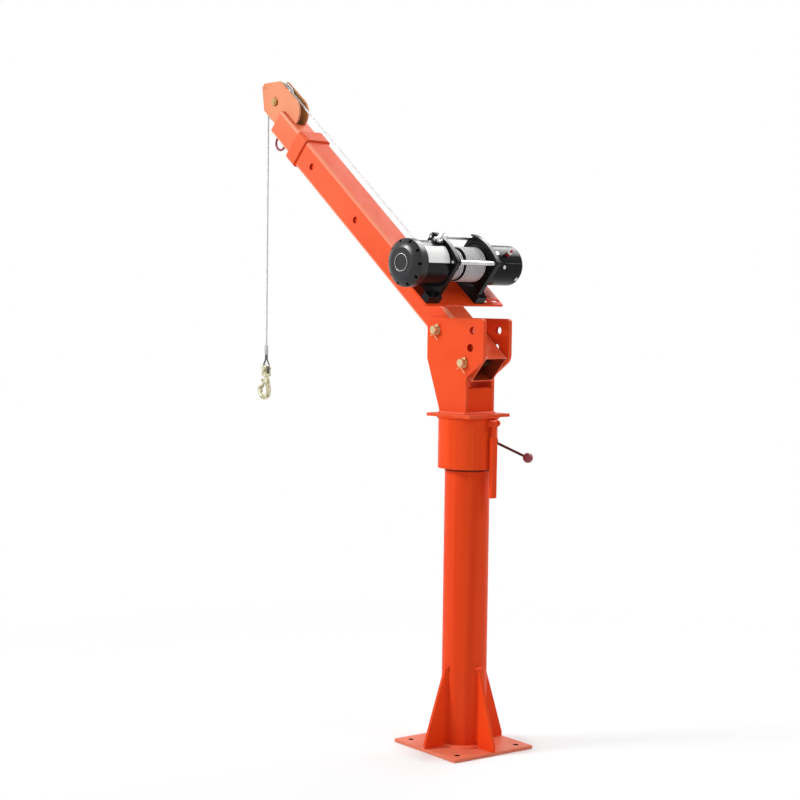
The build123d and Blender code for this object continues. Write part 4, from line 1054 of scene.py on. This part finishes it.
def patch(name, leans, ys, radius, thick, slot, body):
    """Thin sheet lying on a cylinder round the winch axis, with its edges closed."""
    across, deep = LABEL_ACROSS, LABEL_DEEP
    verts = []
    for reach in (radius, radius + thick):
        for k in range(across + 1):
            lean = leans[0] + (leans[1] - leans[0]) * k / across
            for j in range(deep + 1):
                verts.append(winch_point(lean, reach, ys[0] + (ys[1] - ys[0]) * j / deep))
    row = deep + 1
    shift = row * (across + 1)
    faces = []
    for k in range(across):
        for j in range(deep):
            a = k * row + j
            quad = (a, a + 1, a + row + 1, a + row)
            faces += [quad, tuple(i + shift for i in quad)]
    rim = list(range(deep)) + [k * row + deep for k in range(across)]
    rim += [across * row + deep - j for j in range(deep)] + [(across - k) * row for k in range(across)]
    for a, b in zip(rim, rim[1:] + rim[:1]):
        faces.append((a, b, b + shift, a + shift))
    piece(name, verts, faces, slot, body, smooth=False)


def hoop(name, centre, radius, wire_r, slot, body):
    """Round wire ring that faces along the winch axis."""
    verts = []
    for k in range(HOOP_POINTS):
        out = round_winch(2 * pi * k / HOOP_POINTS)
        for i in range(WIRE_SIDES):
            swing = 2 * pi * i / WIRE_SIDES
            verts.append(centre + out * (radius + wire_r * cos(swing)) + SIDE * wire_r * sin(swing))
    piece(name, verts, ring_faces(HOOP_POINTS, WIRE_SIDES, closed=True), slot, body)


def round_nut(name, foot, axis, steps, slot, body):
    """Round nut above foot: steps hold height and radius."""
    side = axis.orthogonal().normalized()
    other = axis.cross(side)
    verts = []
    for height, radius in steps:
        for i in range(NUT_SIDES):
            turn = 2 * pi * i / NUT_SIDES
            verts.append(foot + axis * height + (side * cos(turn) + other * sin(turn)) * radius)
    piece(name, verts, ring_faces(len(steps), NUT_SIDES), slot, body)


LABEL_LEANS = (radians(93), radians(140))
LABEL_YS = (0.075, 0.150)
LABEL_LIFT = 0.00005
LABEL_THICK = 0.0003
COVER_RING_R = 0.0215
COVER_RING_WIRE = 0.0009
COVER_RING_SUNK = 0.0002
PIN_RING_R = 0.0052
PIN_RING_WIRE = 0.0008
TERMINAL_Y = -0.147
TERMINAL_LEANS = (radians(110), radians(350))
TERMINAL_NUT = ((0.0092, 0.0048), (0.0096, 0.0054), (0.0148, 0.0054), (0.0152, 0.0046))


def winch_trim():
    """Bare label on the gear housing and ring on the gear cover."""
    patch("blank_label", LABEL_LEANS, LABEL_YS, GEAR_R + LABEL_LIFT, LABEL_THICK, "nylon", "boom")
    ring_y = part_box("gear_cover")[1].y - COVER_RING_SUNK
    middle = Vector((DRUM.x, ring_y, DRUM.z))
    hoop("cover_ring", middle, COVER_RING_R, COVER_RING_WIRE, "aluminium", "boom")


def pin_rings():
    """Turned ring on the near end of each boom pin."""
    for pin, body in (("pivot_pin", "head"), ("lock_pin", "boom")):
        low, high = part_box(pin)
        end = Vector(((low.x + high.x) / 2, high.y, (low.z + high.z) / 2))
        hoop(f"{pin}_ring", end, PIN_RING_R, PIN_RING_WIRE, "zinc", body)


def terminal_nuts():
    """White nut on each motor terminal."""
    low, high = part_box("motor_case")
    motor_r = (high.z - low.z) / 2
    for number, lean in enumerate(TERMINAL_LEANS, 1):
        foot = winch_point(lean, motor_r, TERMINAL_Y)
        axis = round_winch(lean).normalized()
        round_nut(f"terminal_nut_{number}", foot, axis, TERMINAL_NUT, "nylon", "boom")


winch_trim()
pin_rings()
terminal_nuts()


# Stage, light and camera
def shows_background(tree):
    """1 for the rays that show the background: straight ones, mirrored ones and ones through glass."""
    rays = tree.nodes.new("ShaderNodeLightPath")
    seen = rays.outputs["Is Camera Ray"]
    for kind in ("Is Glossy Ray", "Is Transmission Ray"):
        most = tree.nodes.new("ShaderNodeMath")
        most.operation = "MAXIMUM"
        tree.links.new(seen, most.inputs[0])
        tree.links.new(rays.outputs[kind], most.inputs[1])
        seen = most.outputs[0]
    return seen


FLOOR_HALF = 7.0
FLOOR_DROP = 0.0005
FLOOR_PALE = (0.86, 0.86, 0.86, 1)
FLOOR_ROUGH = 0.7
WHITE_RUN = (0.25, 2.2)
WHITE_SHARE = (0.55, 1.0)
FOOT_SHADE_RUN = (0.165, 0.20)


def floor_white():
    """Pale floor's material: plain white away from the crane, with the shadow kept round its foot."""
    graph = Graph("floor_white")
    graph.set(Base_Color=FLOOR_PALE, Roughness=FLOOR_ROUGH)
    reach = graph.vector("LENGTH", graph.place).outputs["Value"]
    fade = graph.ramp(reach, *WHITE_RUN, *WHITE_SHARE)
    fade = graph.math("MULTIPLY", fade, graph.ramp(reach, *FOOT_SHADE_RUN))
    glow = graph.nodes.new("ShaderNodeEmission")
    blend = graph.nodes.new("ShaderNodeMixShader")
    seen = shows_background(graph.material.node_tree)
    graph.join(graph.math("MULTIPLY", fade, seen), blend.inputs[0])
    graph.join(graph.shader.outputs[0], blend.inputs[1])
    graph.join(glow.outputs[0], blend.inputs[2])
    graph.join(blend.outputs[0], graph.nodes["Material Output"].inputs["Surface"])
    return graph.material


def stage_floor():
    """Square floor just under the base plate."""
    half = FLOOR_HALF
    corners = [(-half, -half, 0), (half, -half, 0), (half, half, 0), (-half, half, 0)]
    mesh = bpy.data.meshes.new("floor")
    mesh.from_pydata(corners, [], [(0, 1, 2, 3)])
    mesh.materials.append(floor_white())
    floor = bpy.data.objects.new("floor", mesh)
    floor.location.z = -FLOOR_DROP
    bpy.context.scene.collection.objects.link(floor)


WHITE = (1, 1, 1, 1)
SKY_FROM = Vector((0.40, 0.68, 0.62)).normalized()
SKY_DIM = 0.02
SKY_BRIGHT = 0.50


def white_world():
    """White to the eye and in reflections, with the light of a soft sky, brightest from SKY_FROM."""
    world = bpy.data.worlds.new("studio")
    bpy.context.scene.world = world
    world.use_nodes = True
    tree = world.node_tree
    lean = tree.nodes.new("ShaderNodeVectorMath")
    lean.operation = "DOT_PRODUCT"
    lean.inputs[1].default_value = SKY_FROM
    tree.links.new(tree.nodes.new("ShaderNodeTexCoord").outputs["Generated"], lean.inputs[0])
    level = tree.nodes.new("ShaderNodeMapRange")
    level.inputs["From Min"].default_value = -1.0
    level.inputs["To Min"].default_value = SKY_DIM
    level.inputs["To Max"].default_value = SKY_BRIGHT
    tree.links.new(lean.outputs["Value"], level.inputs["Value"])
    sky = tree.nodes["Background"]
    sky.inputs["Color"].default_value = WHITE
    tree.links.new(level.outputs["Result"], sky.inputs["Strength"])
    white = tree.nodes.new("ShaderNodeBackground")
    white.inputs["Color"].default_value = WHITE
    blend = tree.nodes.new("ShaderNodeMixShader")
    tree.links.new(shows_background(tree), blend.inputs[0])
    tree.links.new(sky.outputs[0], blend.inputs[1])
    tree.links.new(white.outputs[0], blend.inputs[2])
    tree.links.new(blend.outputs[0], tree.nodes["World Output"].inputs["Surface"])


LIGHT_AIM = Vector((0.2, 0.0, 1.0))


def softbox(name, place, size, power):
    """Soft light at place, facing the crane's middle: size is its width and height."""
    light = bpy.data.lights.new(name, "AREA")
    light.shape = "RECTANGLE"
    light.size, light.size_y = size
    light.energy = power
    lamp = bpy.data.objects.new(name, light)
    lamp.location = place
    lamp.rotation_euler = (LIGHT_AIM - Vector(place)).to_track_quat("-Z", "Y").to_euler()
    lamp.visible_camera = False
    bpy.context.scene.collection.objects.link(lamp)


CAMERA_PLACE = Vector((-2.97334, 3.16065, 1.13882))
CAMERA_YAW = radians(-44.47)
CAMERA_PITCH = radians(-3.41)
CAMERA_ROLL = radians(0.75)
CAMERA_LENS = 77.44
SENSOR = 36.0


def photo_camera():
    """Camera at the photograph's place, turn and lens."""
    flat = cos(CAMERA_PITCH)
    forward = Vector((cos(CAMERA_YAW) * flat, sin(CAMERA_YAW) * flat, sin(CAMERA_PITCH)))
    level = Vector((sin(CAMERA_YAW), -cos(CAMERA_YAW), 0))
    above = level.cross(forward)
    right = level * cos(CAMERA_ROLL) + above * sin(CAMERA_ROLL)
    top = above * cos(CAMERA_ROLL) - level * sin(CAMERA_ROLL)
    data = bpy.data.cameras.new("camera")
    data.lens = CAMERA_LENS
    data.sensor_width = SENSOR
    data.sensor_fit = "HORIZONTAL"
    camera = bpy.data.objects.new("camera", data)
    turn = Matrix((right, top, -forward)).transposed()
    camera.matrix_world = Matrix.Translation(CAMERA_PLACE) @ turn.to_4x4()
    bpy.context.scene.collection.objects.link(camera)
    bpy.context.scene.camera = camera


stage_floor()
white_world()
softbox("left_softbox", (2.0, 3.0, 2.9), (0.9, 0.9), 116)
softbox("right_softbox", (-2.6, -0.6, 3.2), (1.6, 1.6), 34)
softbox("back_softbox", (0.2, -2.4, 3.5), (2.6, 1.2), 86)
photo_camera()
bpy.context.scene.view_settings.view_transform = "Standard"
